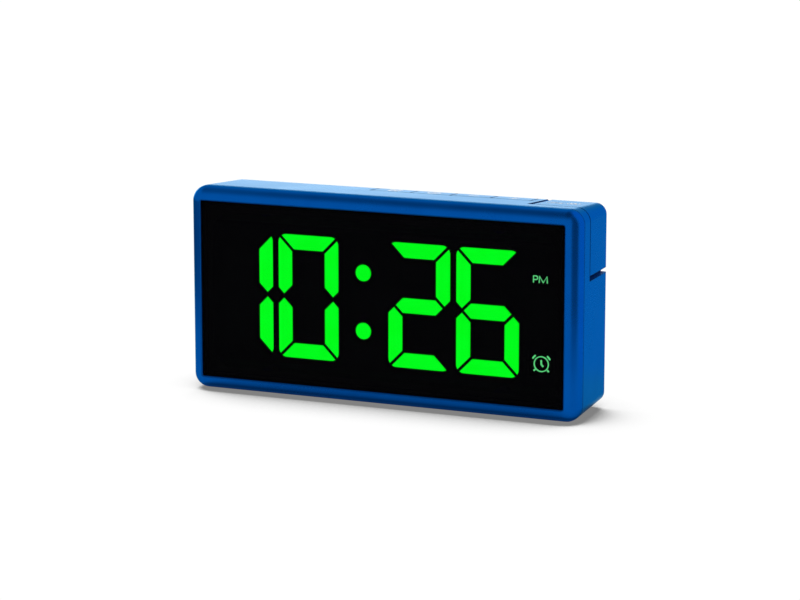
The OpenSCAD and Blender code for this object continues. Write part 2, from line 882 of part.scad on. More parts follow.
module sound_holes() {
    for (a = [0:45:315])
        rod(
            buzzer_x + sound_ring_r * cos(a), base_z + buzzer_z + sound_ring_r * sin(a),
            sound_d / 2, rear_in - cut, body_d + cut
        );
    rod(buzzer_x, base_z + buzzer_z, sound_d / 2, rear_in - cut, body_d + cut);
}

// Round bars at the four feet, from one height up into the sloping base
module foot_bars(r, low) {
    for (x = [-1, 1], d = [foot_front, foot_rear])
        translate([x * (half_w - foot_inset), yf(d), low])
            cylinder(r = r, h = lean(d) + foot_t - low);
}

module rear_housing() {
    color(case_blue)
        difference() {
            union() {
                around()
                    housing_section();
                difference() {
                    slab(rear_in, body_d)
                        middle(body_w - 2 * bezel_w + bond, body_h - 2 * bezel_w + bond);
                    rod(cell_x, cell_z, well_out - bond, rear_in - cut, body_d + cut);
                }
                difference() {
                    rod(cell_x, cell_z, well_out, rear_in, body_d);
                    battery_mouth();
                }
                difference() {
                    battery_well();
                    battery_mouth();
                }
                snooze_tray();
                for (p = case_points)
                    tower(p);
                for (p = control_points)
                    rod(p[0], p[1], stand_d / 2, control_back, rear_in + bond);
            }
            key_opening();
            snooze_pocket();
            sound_holes();
            slab(rear_in - cut, body_d + cut)
                usb_outline(fit_gap);
            slab(body_d - usb_sink, body_d + cut)
                usb_outline(usb_border);
            for (p = case_points) {
                rod(p[0], p[1], screw_d / 2 + fit_gap, tower_front - cut, body_d + cut);
                rod(p[0], p[1], head_d / 2 + fit_gap, tower_front + tower_floor, body_d + cut);
            }
            for (p = control_points)
                rod(p[0], p[1], screw_d / 2 + cell_gap, control_back - cut, rear_in);
            foot_bars(foot_d / 2 + fit_gap, -cut);
        }
}

module display_window() {
    w = window_w / 2 - fit_gap;
    low = mid_z - window_h / 2 + fit_gap;
    high = mid_z + window_h / 2 - fit_gap;
    front = yf(lens_sink);
    edge = yf(lens_sink + lens_chamfer);
    back = yf(lens_back);
    c = lens_chamfer;
    color(dark_plastic)
        intersection() {
            translate([0, 0, low])
                linear_extrude(high - low)
                    polygon([[-w, back], [-w, edge], [c - w, front], [w - c, front], [w, edge], [w, back]]);
            translate([-w, 0, 0])
                rotate([90, 0, 90])
                    linear_extrude(2 * w)
                        polygon([
                            [back, low], [edge, low], [front, low + c],
                            [front, high - c], [edge, high], [back, high]
                        ]);
            slab(0, lens_back + cut)
                translate([0, mid_z])
                    rounded(2 * w, high - low, window_corner_r);
        }
}

module window_tape() {
    color(dark_plastic)
        slab(lens_back, ledge_front)
            difference() {
                middle(window_w - 4 * fit_gap, window_h - 4 * fit_gap);
                middle(window_w - 2 * ledge_w + fit_gap, window_h - 2 * ledge_w + fit_gap);
            }
}

module reflector_block() {
    left = digit_x[0] - digit_w / 2 - block_side;
    right = sign_x + sign_w / 2 + sign_wall + block_side / 2;
    low = digits_z - digit_h / 2 - block_rim;
    high = digits_z + digit_h / 2 + block_rim;
    color(dark_plastic)
        difference() {
            union() {
                block([left, right], [block_front, block_back], [low, high]);
                for (z = locator_z)
                    rod(colon_x, z, locator_d / 2, block_back - bond, display_back - fit_gap);
            }
            slab(block_front - cut, block_back + cut) {
                segments(true, cell_gap);
                segments(false, cell_gap);
            }
            for (z = [-1, 1])
                rod(colon_x, digits_z + z * colon_pitch / 2, colon_d / 2 + cell_gap,
                    block_front - cut, block_back + cut);
            for (p = case_points)
                rod(p[0], p[1], boss_d / 2 + run_gap, block_front - cut, block_back + cut);
            slab(block_front - cut, block_back + cut) {
                sign_cell(letter_z, letter_w, letter_h, 0);
                sign_cell(alarm_z, sign_w, sign_w, 0);
            }
            block(
                [colon_x - colon_d, colon_x + colon_d], [block_front + skin_t, block_back + cut],
                [digits_z - colon_pitch / 2 + colon_d / 2 + block_rim,
                    digits_z + colon_pitch / 2 - colon_d / 2 - block_rim]
            );
        }
}

module lit_segments() {
    color(lit_green)
        slab(block_front, block_front + diffuser_t)
            segments(true, 0);
}

module unlit_segments() {
    color([0.1, 0.12, 0.1])
        slab(block_front, block_front + diffuser_t)
            segments(false, 0);
}

module colon_dots() {
    color(lit_green)
        for (z = [-1, 1])
            rod(colon_x, digits_z + z * colon_pitch / 2, colon_d / 2, block_front, block_front + diffuser_t);
}

// Light guide with a raised sign on its face
module pm_indicator() {
    color(pale_green) {
        slab(block_front, block_front + sign_relief + bond)
            letters();
        slab(block_front + sign_relief, block_front + diffuser_t)
            sign_cell(letter_z, letter_w, letter_h, cell_gap);
    }
}

module alarm_indicator() {
    color(pale_green) {
        slab(block_front, block_front + sign_relief + bond)
            alarm_sign();
        slab(block_front + sign_relief, block_front + diffuser_t)
            sign_cell(alarm_z, sign_w, sign_w, cell_gap);
    }
}

// One lamp with its round emitter well
module led(x, z) {
    front = block_back - led_h;
    difference() {
        block([x - led_l / 2, x + led_l / 2], [front, block_back], [z - led_w / 2, z + led_w / 2]);
        rod(x, z, led_w / 2 - fit_gap, front - cut, front + led_h / 2);
    }
}

module led_chips() {
    bar_x = digit_w / 2 - segment_t / 2;
    bar_z = digit_h / 2 - segment_t / 2;
    spread_x = bar_x / 2;
    color([0.95, 0.93, 0.8]) {
        for (x = digit_x, side = [-1, 1]) {
            for (z = [-bar_z, 0, bar_z])
                led(x + side * spread_x, digits_z + z);
            for (half = [-1, 1], step = [0.3, 0.7])
                led(x + side * bar_x, digits_z + half * step * bar_z);
        }
        for (z = [-1, 1])
            led(colon_x, digits_z + z * colon_pitch / 2);
        led(sign_x, letter_z);
        led(sign_x, alarm_z);
    }
}

module display_board() {
    color(board_green)
        difference() {
            block(
                [-display_half_w, display_half_w], [block_back, display_back],
                [base_z + board_inset, top_z - board_inset]
            );
            for (p = board_points)
                rod(p[0], p[1], screw_d / 2 + fit_gap, block_back - cut, display_back + cut);
            for (z = locator_z)
                rod(colon_x, z, locator_d / 2 + fit_gap, block_back - cut, display_back + cut);
            for (x = link_x)
                rod(x, link_z, pin_t, block_back - cut, display_back + cut);
        }
}

// Pan-head screw along Y with a cross recess; the head lies behind the given depth
module screw(p, front, seat) {
    color(steel)
        difference() {
            union() {
                rod(p[0], p[1], screw_d / 2, front, seat + bond);
                rod(p[0], p[1], head_d / 2, seat, seat + head_h);
            }
            for (a = [0, 90])
                translate([p[0], yf(seat + head_h / 2), p[1]])
                    rotate([0, a, 0])
                        translate([-head_d / 4, 0, -head_h / 6])
                            cube([head_d / 2, head_h, head_h / 3]);
        }
}

module display_screws() {
    for (p = board_points)
        screw(p, ledge_back + bond, display_back);
}

// Control board screws come from the front of the board
module control_screws() {
    reach = rear_in - control_back - bond;
    for (p = control_points)
        translate([0, 2 * yf(control_front), 0])
            mirror([0, 1, 0])
                screw(p, control_front - board_t - reach, control_front);
}

module case_screws() {
    for (p = case_points)
        screw(p, ledge_back + bond, tower_front + tower_floor);
}

module link_header() {
    color(dark_plastic)
        slab(display_back, display_back + link_base)
            translate([link_mid, link_z])
                square([8 * link_pitch, link_w], center = true);
    color([0.85, 0.7, 0.3])
        for (x = link_x)
            block(
                [x - pin_t / 2, x + pin_t / 2],
                [block_back + fit_gap, control_back + socket_h - 2 * bond],
                [link_z - pin_t / 2, link_z + pin_t / 2]
            );
}

// Socket that the pins enter through the control board
module link_socket() {
    color(dark_plastic)
        difference() {
            slab(control_back, control_back + socket_h)
                translate([link_mid, link_z])
                    square([8 * link_pitch, link_w], center = true);
            for (x = link_x)
                rod(x, link_z, pin_t, control_back - cut, control_back + socket_h - bond);
        }
    color([0.85, 0.7, 0.3])
        for (x = link_x)
            block(
                [x - pin_t / 2, x + pin_t / 2], [control_back, control_back + bond],
                [link_z - link_w / 2 - link_foot, link_z - link_w / 2 + fit_gap]
            );
}

module control_board() {
    color(board_green)
        difference() {
            block([control_left, control_right], [control_front, control_back], [control_low, control_high]);
            for (p = control_points)
                rod(p[0], p[1], screw_d / 2 + fit_gap, control_front - cut, control_back + cut);
            for (x = link_x)
                rod(x, link_z, pin_t, control_front - cut, control_back + cut);
        }
}

module control_chip() {
    x = switch_x[1];
    z = mid_z;
    back = control_back + chip_t;
    knee = control_back + chip_t / 2;
    dot = [x - chip_w / 2 + lead_l, z + chip_h / 2 - lead_l];
    color(dark_plastic)
        difference() {
            block(
                [x - chip_w / 2, x + chip_w / 2], [control_back + fit_gap, back],
                [z - chip_h / 2, z + chip_h / 2]
            );
            rod(dot[0], dot[1], lead_w, back - fit_gap, back + cut);
        }
    color(steel)
        for (i = [-3:3], side = [-1, 1])
            translate([x + i * lead_pitch - lead_w / 2, 0, z + side * chip_h / 2])
                mirror([0, 0, side > 0 ? 0 : 1]) {
                    block([0, lead_w], [knee - lead_t, knee], [-bond, lead_l / 2]);
                    block([0, lead_w], [control_back, knee], [lead_l / 2 - lead_t, lead_l / 2]);
                    block([0, lead_w], [control_back, control_back + lead_t], [lead_l / 2 - lead_t, lead_l]);
                }
}

// Oval metal can with a rim at its foot
module clock_crystal() {
    color(steel)
        for (step = [[bond, bond], [0, crystal_t]]) {
            w = crystal_w + 2 * step[0];
            h = crystal_h + 2 * step[0];
            slab(control_back, control_back + step[1])
                translate([switch_x[2], mid_z + crystal_rise])
                    rounded(w, h, h / 2 - cell_gap);
        }
}

// Can with a groove round its foot and a vent star in its top
module smoothing_capacitor() {
    x = switch_x[2];
    z = base_z + capacitor_z;
    r = capacitor_d / 2;
    color(steel)
        difference() {
            rod(x, z, r, control_back, control_back + capacitor_l);
            for (a = [0, 60, 120])
                translate([x, yf(control_back + capacitor_l), z])
                    rotate([0, a, 0])
                        cube([r, bond, bond], center = true);
            translate([x, yf(control_back + 3 * groove_r), z])
                rotate([90, 0, 0])
                    rotate_extrude()
                        translate([r, 0])
                            circle(groove_r);
        }
}

module buzzer() {
    z = base_z + buzzer_z;
    color(dark_plastic)
        difference() {
            union() {
                rod(buzzer_x, z, buzzer_d / 2, control_back, control_back + buzzer_h);
                rod(buzzer_x, z, buzzer_d / 2 + bond, control_back, control_back + cut);
            }
            rod(buzzer_x, z, sound_d, control_back + buzzer_h / 2, control_back + buzzer_h + cut);
        }
}

// Power inlet that stands on the control board and opens through the rear wall
module usb_socket() {
    mouth = body_d - usb_sink;
    z = base_z + usb_z;
    foot_x = usb_w / 2 + bond;
    foot_z = usb_h / 2 + bond;
    color(steel) {
        slab(control_back, mouth)
            difference() {
                usb_outline(0);
                usb_outline(-usb_t);
            }
        block(
            [usb_x - foot_x, usb_x + foot_x], [control_back, control_back + usb_foot],
            [z - foot_z, z + foot_z]
        );
        block(
            [usb_x - usb_tongue_w / 2, usb_x + usb_tongue_w / 2],
            [control_back + cut, mouth - usb_tongue_sink],
            [z - usb_tongue_t / 2, z + usb_tongue_t / 2]
        );
    }
}

module switch_bodies() {
    chamber_high = switch_top - switch_lid;
    chamber_low = chamber_high - collar_t - snooze_travel - 2 * run_gap;
    color(dark_plastic)
        for (x = switch_x)
            difference() {
                block(
                    [x - switch_w / 2, x + switch_w / 2], [control_back, switch_y + switch_depth / 2],
                    [switch_top - switch_h, switch_top]
                );
                translate([x, yf(switch_y), chamber_low])
                    cylinder(r = plunger_d / 2 + collar_w + run_gap, h = chamber_high - chamber_low);
                translate([x, yf(switch_y), chamber_low])
                    cylinder(r = plunger_d / 2 + run_gap, h = switch_h);
            }
}

// Plunger of one switch, at rest under its key
module plunger(i) {
    collar_top = switch_top - switch_lid - run_gap;
    color([0.9, 0.9, 0.88])
        translate([switch_x[i], yf(switch_y), 0]) {
            translate([0, 0, collar_top - collar_t])
                cylinder(d = plunger_d, h = plunger_top - collar_top + collar_t);
            translate([0, 0, collar_top - collar_t])
                cylinder(r = plunger_d / 2 + collar_w, h = collar_t);
        }
}

// Foot of a key, from its underside down to the plunger
module key_post(x, front, underside) {
    block(
        [x - post_w / 2, x + post_w / 2], [front, switch_y + plunger_d / 2],
        [plunger_top, underside + bond]
    );
}

// Key cut from the top rear edge of the case, with its lip, tab and switch foot
module top_key(i) {
    x = [key_x[i] - (key_pitch - key_gap) / 2, key_x[i] + (key_pitch - key_gap) / 2];
    front = key_front + key_gap / 2;
    low = deck_z - skirt_h;
    under = deck_z - key_t;
    lip_high = top_z - lean(front) - wall - run_gap;
    tab_back = rear_in - run_gap;
    color(case_blue) {
        difference() {
            intersection() {
                case_solid();
                block(x, [front, body_d + cut], [low, top_z + cut]);
            }
            block([x[0] - cut, x[1] + cut], [front - cut, body_d - skirt_t], [low - cut, under]);
        }
        key_post(key_x[i], front, under);
        block([x[0] + lip_t, x[1] - lip_t], [front, front + lip_t], [lip_high - lip_t, under + bond]);
        block([x[0] + lip_t, x[1] - lip_t], [front - lip_l, front + bond], [lip_high - lip_t, lip_high]);
        block([x[0] + lip_t, x[1] - lip_t], [tab_back - tab_t, tab_back], [low - tab_l, under + bond]);
        for (side = [x[0] + lip_t, x[1] - lip_t - rib_t])
            block(
                [side, side + rib_t], [tab_back - bond, body_d - skirt_t + bond],
                [low + skirt_gap, under + bond]
            );
    }
}

module alarm_key() { top_key(0); }
module clock_key() { top_key(1); }
module minus_key() { top_key(2); }
module plus_key() { top_key(3); }

module alarm_plunger() { plunger(0); }
module clock_plunger() { plunger(1); }
module minus_plunger() { plunger(2); }
module plus_plunger() { plunger(3); }
module snooze_plunger() { plunger(4); }

// Shell that wraps over the top right corner, with a switch foot and two snap legs
module snooze_key() {
    under = deck_z - snooze_t;
    leg_low = tray_z - tray_t - run_gap - barb_h;
    color(case_blue) {
        difference() {
            intersection() {
                case_solid();
                block(
                    [snooze_left, half_w + cut], [snooze_front, body_d + cut],
                    [snooze_low, top_z + cut]
                );
            }
            slab(snooze_front - cut, body_d + cut)
                round_corner(
                    snooze_left - cut, half_w - rear_inset - snooze_t, snooze_low - cut, under, snooze_inner_r
                );
        }
        key_post(switch_x[4], switch_y - plunger_d / 2, under);
        for (x = leg_x) {
            block([x - leg_w / 2, x + leg_w / 2], [leg_y, leg_y + leg_t], [leg_low, under + bond]);
            block(
                [x - leg_w / 2, x + leg_w / 2], [leg_y - run_gap - barb_l, leg_y + bond],
                [leg_low, leg_low + barb_h]
            );
        }
    }
}

module coin_cell() {
    can_front = cell_front + cap_h;
    color(steel) {
        rod(cell_x, cell_z, cell_d / 2, can_front, cell_back);
        rod(cell_x, cell_z, cell_d / 2 - cap_inset, cell_front, can_front + bond);
    }
}

// Strip that stands on the board and touches the rim of the cell
module cell_contact_plus() {
    r = cell_d / 2 + cell_gap;
    x = [cell_x - contact_w / 2, cell_x + contact_w / 2];
    color([0.85, 0.8, 0.6]) {
        block(x, [control_back, cell_back - bond], [cell_z + r, cell_z + r + contact_t]);
        block(x, [control_back, control_back + contact_t], [cell_z + r, cell_z + well_out]);
    }
}

// Leaf on the board with a sprung tongue under the cell
module cell_contact_minus() {
    leaf = cell_d / 4;
    tip = cell_front - cell_gap;
    color([0.85, 0.8, 0.6])
        translate([cell_x, 0, cell_z - contact_w / 2])
            linear_extrude(contact_w)
                polygon([
                    [-leaf, yf(control_back)], [leaf, yf(control_back)],
                    [leaf, yf(control_back + contact_t)], [-leaf / 2, yf(control_back + contact_t)],
                    [leaf - bond, yf(tip - contact_t)], [leaf - bond, yf(tip)], [leaf - 2 * bond, yf(tip)],
                    [-leaf, yf(control_back + contact_t)]
                ]);
}

// Twist cover: disc with a coin slot, hub ring and two locking lugs
module battery_cover() {
    hub_front = cell_back + run_gap;
    color(case_blue)
        difference() {
            union() {
                rod(cell_x, cell_z, cover_r, body_d - cover_t, body_d);
                rod(cell_x, cell_z, hub_r, hub_front, body_d - bond);
                for (a = [0, 180])
                    translate([cell_x, yf(lug_back - lug_t), cell_z])
                        rotate([-90, 0, 0])
                            rotate([0, 0, a - lug_angle / 2])
                                rotate_extrude(angle = lug_angle)
                                    translate([hub_r - bond, 0])
                                        square([lug_l + bond, lug_t]);
            }
            rod(cell_x, cell_z, hub_r - hub_t, hub_front - cut, body_d - cover_t);
            slab(body_d - slot_t, body_d + cut)
                translate([cell_x, cell_z])
                    rounded(slot_l, slot_w, slot_w / 2 - cell_gap);
        }
}

module foot_pads() {
    color([0.08, 0.08, 0.08])
        foot_bars(foot_d / 2, 0);
}

front_frame();
rear_housing();
display_window();
window_tape();
reflector_block();
lit_segments();
unlit_segments();
colon_dots();
pm_indicator();
alarm_indicator();
led_chips();
display_board();
display_screws();
link_header();
link_socket();
control_board();
control_screws();
control_chip();
clock_crystal();
smoothing_capacitor();
buzzer();
usb_socket();
switch_bodies();
alarm_key();
clock_key();
minus_key();
plus_key();
snooze_key();
alarm_plunger();
clock_plunger();
minus_plunger();
plus_plunger();
snooze_plunger();
coin_cell();
cell_contact_plus();
cell_contact_minus();
battery_cover();
case_screws();
foot_pads();
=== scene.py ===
# %% [markdown]
# # A digital alarm clock in Blender
# The clock arrives as a finished CAD model: every shell, key, lamp and screw is already in its
# place, in metres, and grouped into bodies that move. This lesson dresses that model. It gives
# each piece a believable finish, prints the marks on the keys, swaps the plain screws for
# detailed ones, and sets up a small studio with the camera where a photographer stood.

# %% Load the clock
import json
import math

import bmesh
import bpy
from mathutils import Matrix, Vector
from mathutils.bvhtree import BVHTree


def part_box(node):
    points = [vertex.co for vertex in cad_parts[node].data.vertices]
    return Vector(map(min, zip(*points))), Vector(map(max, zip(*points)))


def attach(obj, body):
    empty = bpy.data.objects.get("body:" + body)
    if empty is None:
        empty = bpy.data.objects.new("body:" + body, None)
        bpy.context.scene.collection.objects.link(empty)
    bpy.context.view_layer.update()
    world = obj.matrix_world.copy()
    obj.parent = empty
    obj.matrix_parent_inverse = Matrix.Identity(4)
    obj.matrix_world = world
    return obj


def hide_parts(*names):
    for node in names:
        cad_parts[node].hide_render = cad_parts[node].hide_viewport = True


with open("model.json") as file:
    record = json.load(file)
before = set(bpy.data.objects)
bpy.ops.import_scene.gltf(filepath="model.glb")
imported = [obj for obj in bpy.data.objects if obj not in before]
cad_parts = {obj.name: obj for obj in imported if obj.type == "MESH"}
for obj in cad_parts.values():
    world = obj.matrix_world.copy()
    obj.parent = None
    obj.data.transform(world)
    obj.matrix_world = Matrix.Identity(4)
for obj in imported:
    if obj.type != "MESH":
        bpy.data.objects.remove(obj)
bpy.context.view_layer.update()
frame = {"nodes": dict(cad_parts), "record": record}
MM = 0.001

# %% [markdown]
# ## Three small helpers
# Every piece ends as a plain mesh on an object in the scene. These helpers say so once.


# %% Objects and meshes
def add_object(name, data):
    """A new object that is linked to the scene."""
    made = bpy.data.objects.new(name, data)
    bpy.context.scene.collection.objects.link(made)
    return made


def mesh_of(shape, name):
    """A plain mesh from a bmesh, which is freed."""
    mesh = bpy.data.meshes.new(name)
    shape.to_mesh(mesh)
    shape.free()
    return mesh


def evaluated_mesh(piece):
    """The mesh that the modifiers make, as a plain mesh."""
    bpy.context.view_layer.update()
    shown = piece.evaluated_get(bpy.context.evaluated_depsgraph_get())
    return bpy.data.meshes.new_from_object(shown)


print("helpers ready")

# %% [markdown]
# ## Shader maths as plain arithmetic
# A material is a graph of nodes. Wiring Math nodes by hand hides the formula, so one small class
# wraps a socket and turns +, -, * and ** into Math nodes. The class Finish holds one material: its
# method node() adds any other node, sets its options first and then its sockets.

# %% Sockets that can be added and multiplied
# The colour sockets of a Mix node, and the parts of a noise's range that hold most of its values
MIX_FIRST, MIX_SECOND, MIX_RESULT = 6, 7, 2
MIDDLE, BROAD = (0.35, 0.65), (0.3, 0.7)


class Signal:
    """A node's output that takes part in Python arithmetic."""

    def __init__(self, finish, socket):
        self.finish = finish
        self.socket = socket

    def _math(self, operation, first, second):
        return self.finish.node("ShaderNodeMath", {"operation": operation}, {0: first, 1: second})

    def __add__(self, other):
        return self._math("ADD", self, other)

    def __rsub__(self, other):
        return self._math("SUBTRACT", other, self)

    def __mul__(self, other):
        return self._math("MULTIPLY", self, other)

    def __rmul__(self, other):
        return self._math("MULTIPLY", other, self)

    def __pow__(self, other):
        return self._math("POWER", self, other)


class Finish:
    """One material or world: its shader, and the nodes that feed it."""

    def __init__(self, name, world=None):
        self.material = world or bpy.data.materials.new(name)
        self.material.use_nodes = True
        self.tree = self.material.node_tree
        self.shader = self.tree.nodes["Background" if world else "Principled BSDF"]

    def node(self, kind, settings=None, inputs=None, output=0):
        made = self.tree.nodes.new(kind)
        for key, value in (settings or {}).items():
            setattr(made, key, value)
        for key, value in (inputs or {}).items():
            self.feed(made.inputs[key], value)
        return Signal(self, made.outputs[output])

    def feed(self, socket, value):
        if isinstance(value, Signal):
            self.tree.links.new(value.socket, socket)
        else:
            socket.default_value = value

    def set(self, **sockets):
        for key, value in sockets.items():
            self.feed(self.shader.inputs[key.replace("_", " ")], value)

    def glow_only(self, color, strength):
        """Swaps the shader for plain light."""
        self.tree.nodes.remove(self.shader)
        light = self.node("ShaderNodeEmission", inputs={"Color": color, "Strength": strength})
        self.feed(self.tree.nodes["Material Output"].inputs["Surface"], light)

    def place(self, stretch=None):
        """The place on the piece, stretched where a scale is given."""
        where = self.node("ShaderNodeTexCoord", output="Object")
        if stretch is None:
            return where
        return self.node("ShaderNodeMapping", inputs={"Vector": where, "Scale": stretch})

    def noise(self, where, grain, detail=2.0, roughness=0.5):
        """Noise whose grains are about that many metres across."""
        return self.node("ShaderNodeTexNoise", inputs={
            "Vector": where, "Scale": 1.0 / grain, "Detail": detail, "Roughness": roughness})

    def open_share(self, reach, samples, **inputs):
        """The share of the sky that nothing nearer than the reach hides."""
        return self.node("ShaderNodeAmbientOcclusion", {"samples": samples}, {
            "Distance": reach, **inputs}, output="AO")

    def band(self, value, low, high, to_low=0.0, to_high=1.0):
        """Stretches low..high to to_low..to_high, and clamps the rest."""
        return self.node("ShaderNodeMapRange", {"clamp": True}, {
            "Value": value, "From Min": low, "From Max": high,
            "To Min": to_low, "To Max": to_high})

    def mix(self, amount, first, second):
        """A colour between two colours."""
        return self.node("ShaderNodeMix", {"data_type": "RGBA"}, {
            "Factor": amount, MIX_FIRST: first, MIX_SECOND: second}, output=MIX_RESULT)

    def bump(self, height, depth, strength, normal=None):
        """A normal from a height that runs 0..1 over that depth in metres."""
        inputs = {"Height": height, "Distance": depth, "Strength": strength}
        if normal is not None:
            inputs["Normal"] = normal
        return self.node("ShaderNodeBump", inputs=inputs)

    def soft_edge(self, radius):
        """The normal of an edge that is broken by a small radius."""
        return self.node("ShaderNodeBevel", {"samples": 4}, {"Radius": radius})


def rgb(red, green, blue):
    return (red, green, blue, 1.0)


PURE_WHITE = rgb(1.0, 1.0, 1.0)
print("shader helpers ready")

# %% [markdown]
# ## The blue lacquer
# The case, the keys and the battery cover share one finish: a blue metallic lacquer on moulded
# plastic. Its flat faces mirror the pale room in blue, its roundings show the dark ceiling as a
# soft dark line, and the top, seen at a shallow angle, turns pale. Metallic does all three.
# Specular Tint sets the colour near the edge of a curve. Three things make it real: a fine grain in
# the bump, slow patches in the roughness where fingers have polished it, and a trace of colour
# drift. A painted shade adds a darker, duller tone in seams and on sharp edges, where shade falls.

# %% Blue lacquer
SPRAY_GRAIN, GRAIN_DEPTH, POLISHED_PATCH, COLOUR_DRIFT = 0.00045, 0.000010, 0.03, 0.012
SEAM_REACH, SHARP_EDGE, BROKEN_EDGE = 0.0025, 0.00065, 0.00010
SEAM_FADE, EDGE_FADE = (0.3, 0.8), (0.80, 0.98)
POLISH, GRAIN_ROUGHNESS, SEAM_ROUGHNESS = (0.25, 0.275), 0.04, 0.6
FULL_COAT = rgb(0.0004, 0.071, 0.332), rgb(0.0006, 0.077, 0.352)
# Painted shade: the dark colours of the lacquer on sharp edges and in seams, where shade falls
EDGE_SHADE, SEAM_SHADE = rgb(0.0001, 0.005, 0.022), rgb(0.0001, 0.05, 0.25)
SHALLOW_TINT = rgb(0.28, 0.56, 0.68)


def blue_lacquer():
    f = Finish("blue_lacquer")
    where = f.place()
    grain = f.noise(where, SPRAY_GRAIN, detail=3.0, roughness=0.6)
    patches = f.noise(where, POLISHED_PATCH)
    drift = f.noise(where, COLOUR_DRIFT, detail=3.0)
    full = f.mix(f.band(drift, *MIDDLE), *FULL_COAT)
    # Painted shade: in seams, grooves and on sharp edges the mask below makes the lacquer darker,
    # duller and less metallic, where shade falls
    surface = f.node("ShaderNodeNewGeometry", output="Normal")
    flat = f.node("ShaderNodeVectorMath", {"operation": "DOT_PRODUCT"}, {
        0: f.soft_edge(SHARP_EDGE), 1: surface}, output="Value")
    blunt = f.band(flat, *EDGE_FADE)
    shade_mask = f.band(f.open_share(SEAM_REACH, samples=8), *SEAM_FADE) * blunt
    seam_and_edge_shade = f.mix(blunt, EDGE_SHADE, SEAM_SHADE)
    polish = f.band(patches, *MIDDLE, *POLISH)
    f.set(
        Base_Color=f.mix(shade_mask, seam_and_edge_shade, full),
        Metallic=shade_mask,
        Roughness=polish + grain * GRAIN_ROUGHNESS + (1.0 - shade_mask) * SEAM_ROUGHNESS,
        Specular_IOR_Level=0.05,
        Specular_Tint=SHALLOW_TINT,
        Normal=f.bump(grain, GRAIN_DEPTH, strength=0.4, normal=f.soft_edge(BROKEN_EDGE)),
    )
    return f.material


BLUE = blue_lacquer()
print("made", BLUE.name)

# %% [markdown]
# ## The dark window
# The window is a sheet of smoked acrylic. It hides everything behind it that doesn't glow, so
# its colour is nearly black and some of the light from behind still gets through: that is what
# Alpha says here. Faint wiping marks change the gloss a little, and the reflection is weak, as on
# a sheet with an anti-glare coat.

# %% Smoked acrylic
WIPE_MARK, WIPE_STRETCH = 0.02, (1.0, 1.0, 6.0)
SMOKE = rgb(0.0005, 0.0005, 0.0009), rgb(0.0008, 0.0008, 0.0012)


def smoked_acrylic():
    f = Finish("smoked_acrylic")
    wipes = f.noise(f.place(WIPE_STRETCH), WIPE_MARK, detail=4.0, roughness=0.6)
    f.set(
        Base_Color=f.mix(f.band(wipes, 0.4, 0.7), *SMOKE),
        Roughness=f.band(wipes, *BROAD, 0.05, 0.10),
        Specular_IOR_Level=0.012,
        Alpha=0.75,
    )
    return f.material


WINDOW = smoked_acrylic()
print("made", WINDOW.name)

# %% [markdown]
# ## Light that seems to come from the digits
# Each segment is a bar of milky resin with lamps behind it. Resin spreads the light well, so the
# bars look even, with a faint cloud in the green. The colour drives Emission, and the strength
# makes up for what the smoked window takes away.

# %% Glowing resin
SEGMENT_CLOUD, SEGMENT_POWER = 0.006, 15.8
SEGMENT_GREENS = rgb(0.0, 0.97, 0.009), rgb(0.0, 1.0, 0.012)
SIGN_CLOUD, SIGN_POWER = 0.002, 14.5
SIGN_GREENS = rgb(0.10, 0.62, 0.20), rgb(0.12, 0.70, 0.23)
SIGN_RAISED = 0.4 * MM
LIT_FROM, DARK_FROM = 0.00012, 0.00008


def cloudy(f, where, grain, colors):
    """A colour that drifts between two colours."""
    return f.mix(f.band(f.noise(where, grain, detail=1.0), *MIDDLE), *colors)


def glowing_resin():
    f = Finish("glowing_segments")
    f.set(
        Base_Color=rgb(0.02, 0.05, 0.02),
        Roughness=0.6,
        Specular_IOR_Level=0.1,
        Emission_Color=cloudy(f, f.place(), SEGMENT_CLOUD, SEGMENT_GREENS),
        Emission_Strength=SEGMENT_POWER,
    )
    return f.material


def raised_sign(face_y):
    """Only the raised sign glows; the face around it is painted black."""
    f = Finish("glowing_signs")
    where = f.place()
    depth = f.node("ShaderNodeSeparateXYZ", inputs={"Vector": where}, output="Y")
    raised = f.band(depth, face_y - LIT_FROM, face_y - DARK_FROM, 1.0, 0.0)
    glow = cloudy(f, where, SIGN_CLOUD, SIGN_GREENS)
    f.set(
        Base_Color=rgb(0.004, 0.004, 0.004),
        Roughness=0.7,
        Specular_IOR_Level=0.05,
        Emission_Color=f.mix(raised, rgb(0.0, 0.0, 0.0), glow),
        Emission_Strength=SIGN_POWER,
    )
    return f.material


GLOW = glowing_resin()
sign_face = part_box("pm_indicator")[0].y + SIGN_RAISED
PALE_GLOW = raised_sign(sign_face)
print("made", GLOW.name, PALE_GLOW.name, "sign face at", round(sign_face, 5))

# %% [markdown]
# ## Finishes of the hidden and small pieces
# The back shows steel in the screw holes and in the power inlet, and rubber under the case. The
# inner pieces are out of sight, but someone may open the clock, so the boards get their copper
# tracks under green lacquer and the plastics get their own grain.

# %% Small finishes
SLOW_PATCH, GRAINED_SPREAD = 25.0, 0.06
DRAWN_LINE, DRAWN_DEPTH, METAL_SPREAD = 0.0004, 0.000006, 0.08
TRACK_LENGTH, TRACK_PITCH, TRACK_GAP, TRACK_DEPTH = 0.009, 0.0016, 0.00022, 0.00004
BOARD_GREENS = rgb(0.010, 0.085, 0.032), rgb(0.014, 0.105, 0.042)
TRACK_GREEN, BOARD_CLOUD = rgb(0.03, 0.19, 0.07), 0.004


def grained(name, dark, light, grain, roughness, depth, specular=0.3):
    f = Finish(name)
    where = f.place()
    fine = f.noise(where, grain, detail=3.0, roughness=0.6)
    slow = f.noise(where, grain * SLOW_PATCH)
    glossy, dull = roughness - GRAINED_SPREAD, roughness + GRAINED_SPREAD
    f.set(
        Base_Color=f.mix(f.band(slow, *MIDDLE), dark, light),
        Roughness=f.band(fine, *BROAD, glossy, dull),
        Specular_IOR_Level=specular,
        Normal=f.bump(fine, depth, strength=0.5),
    )
    return f.material


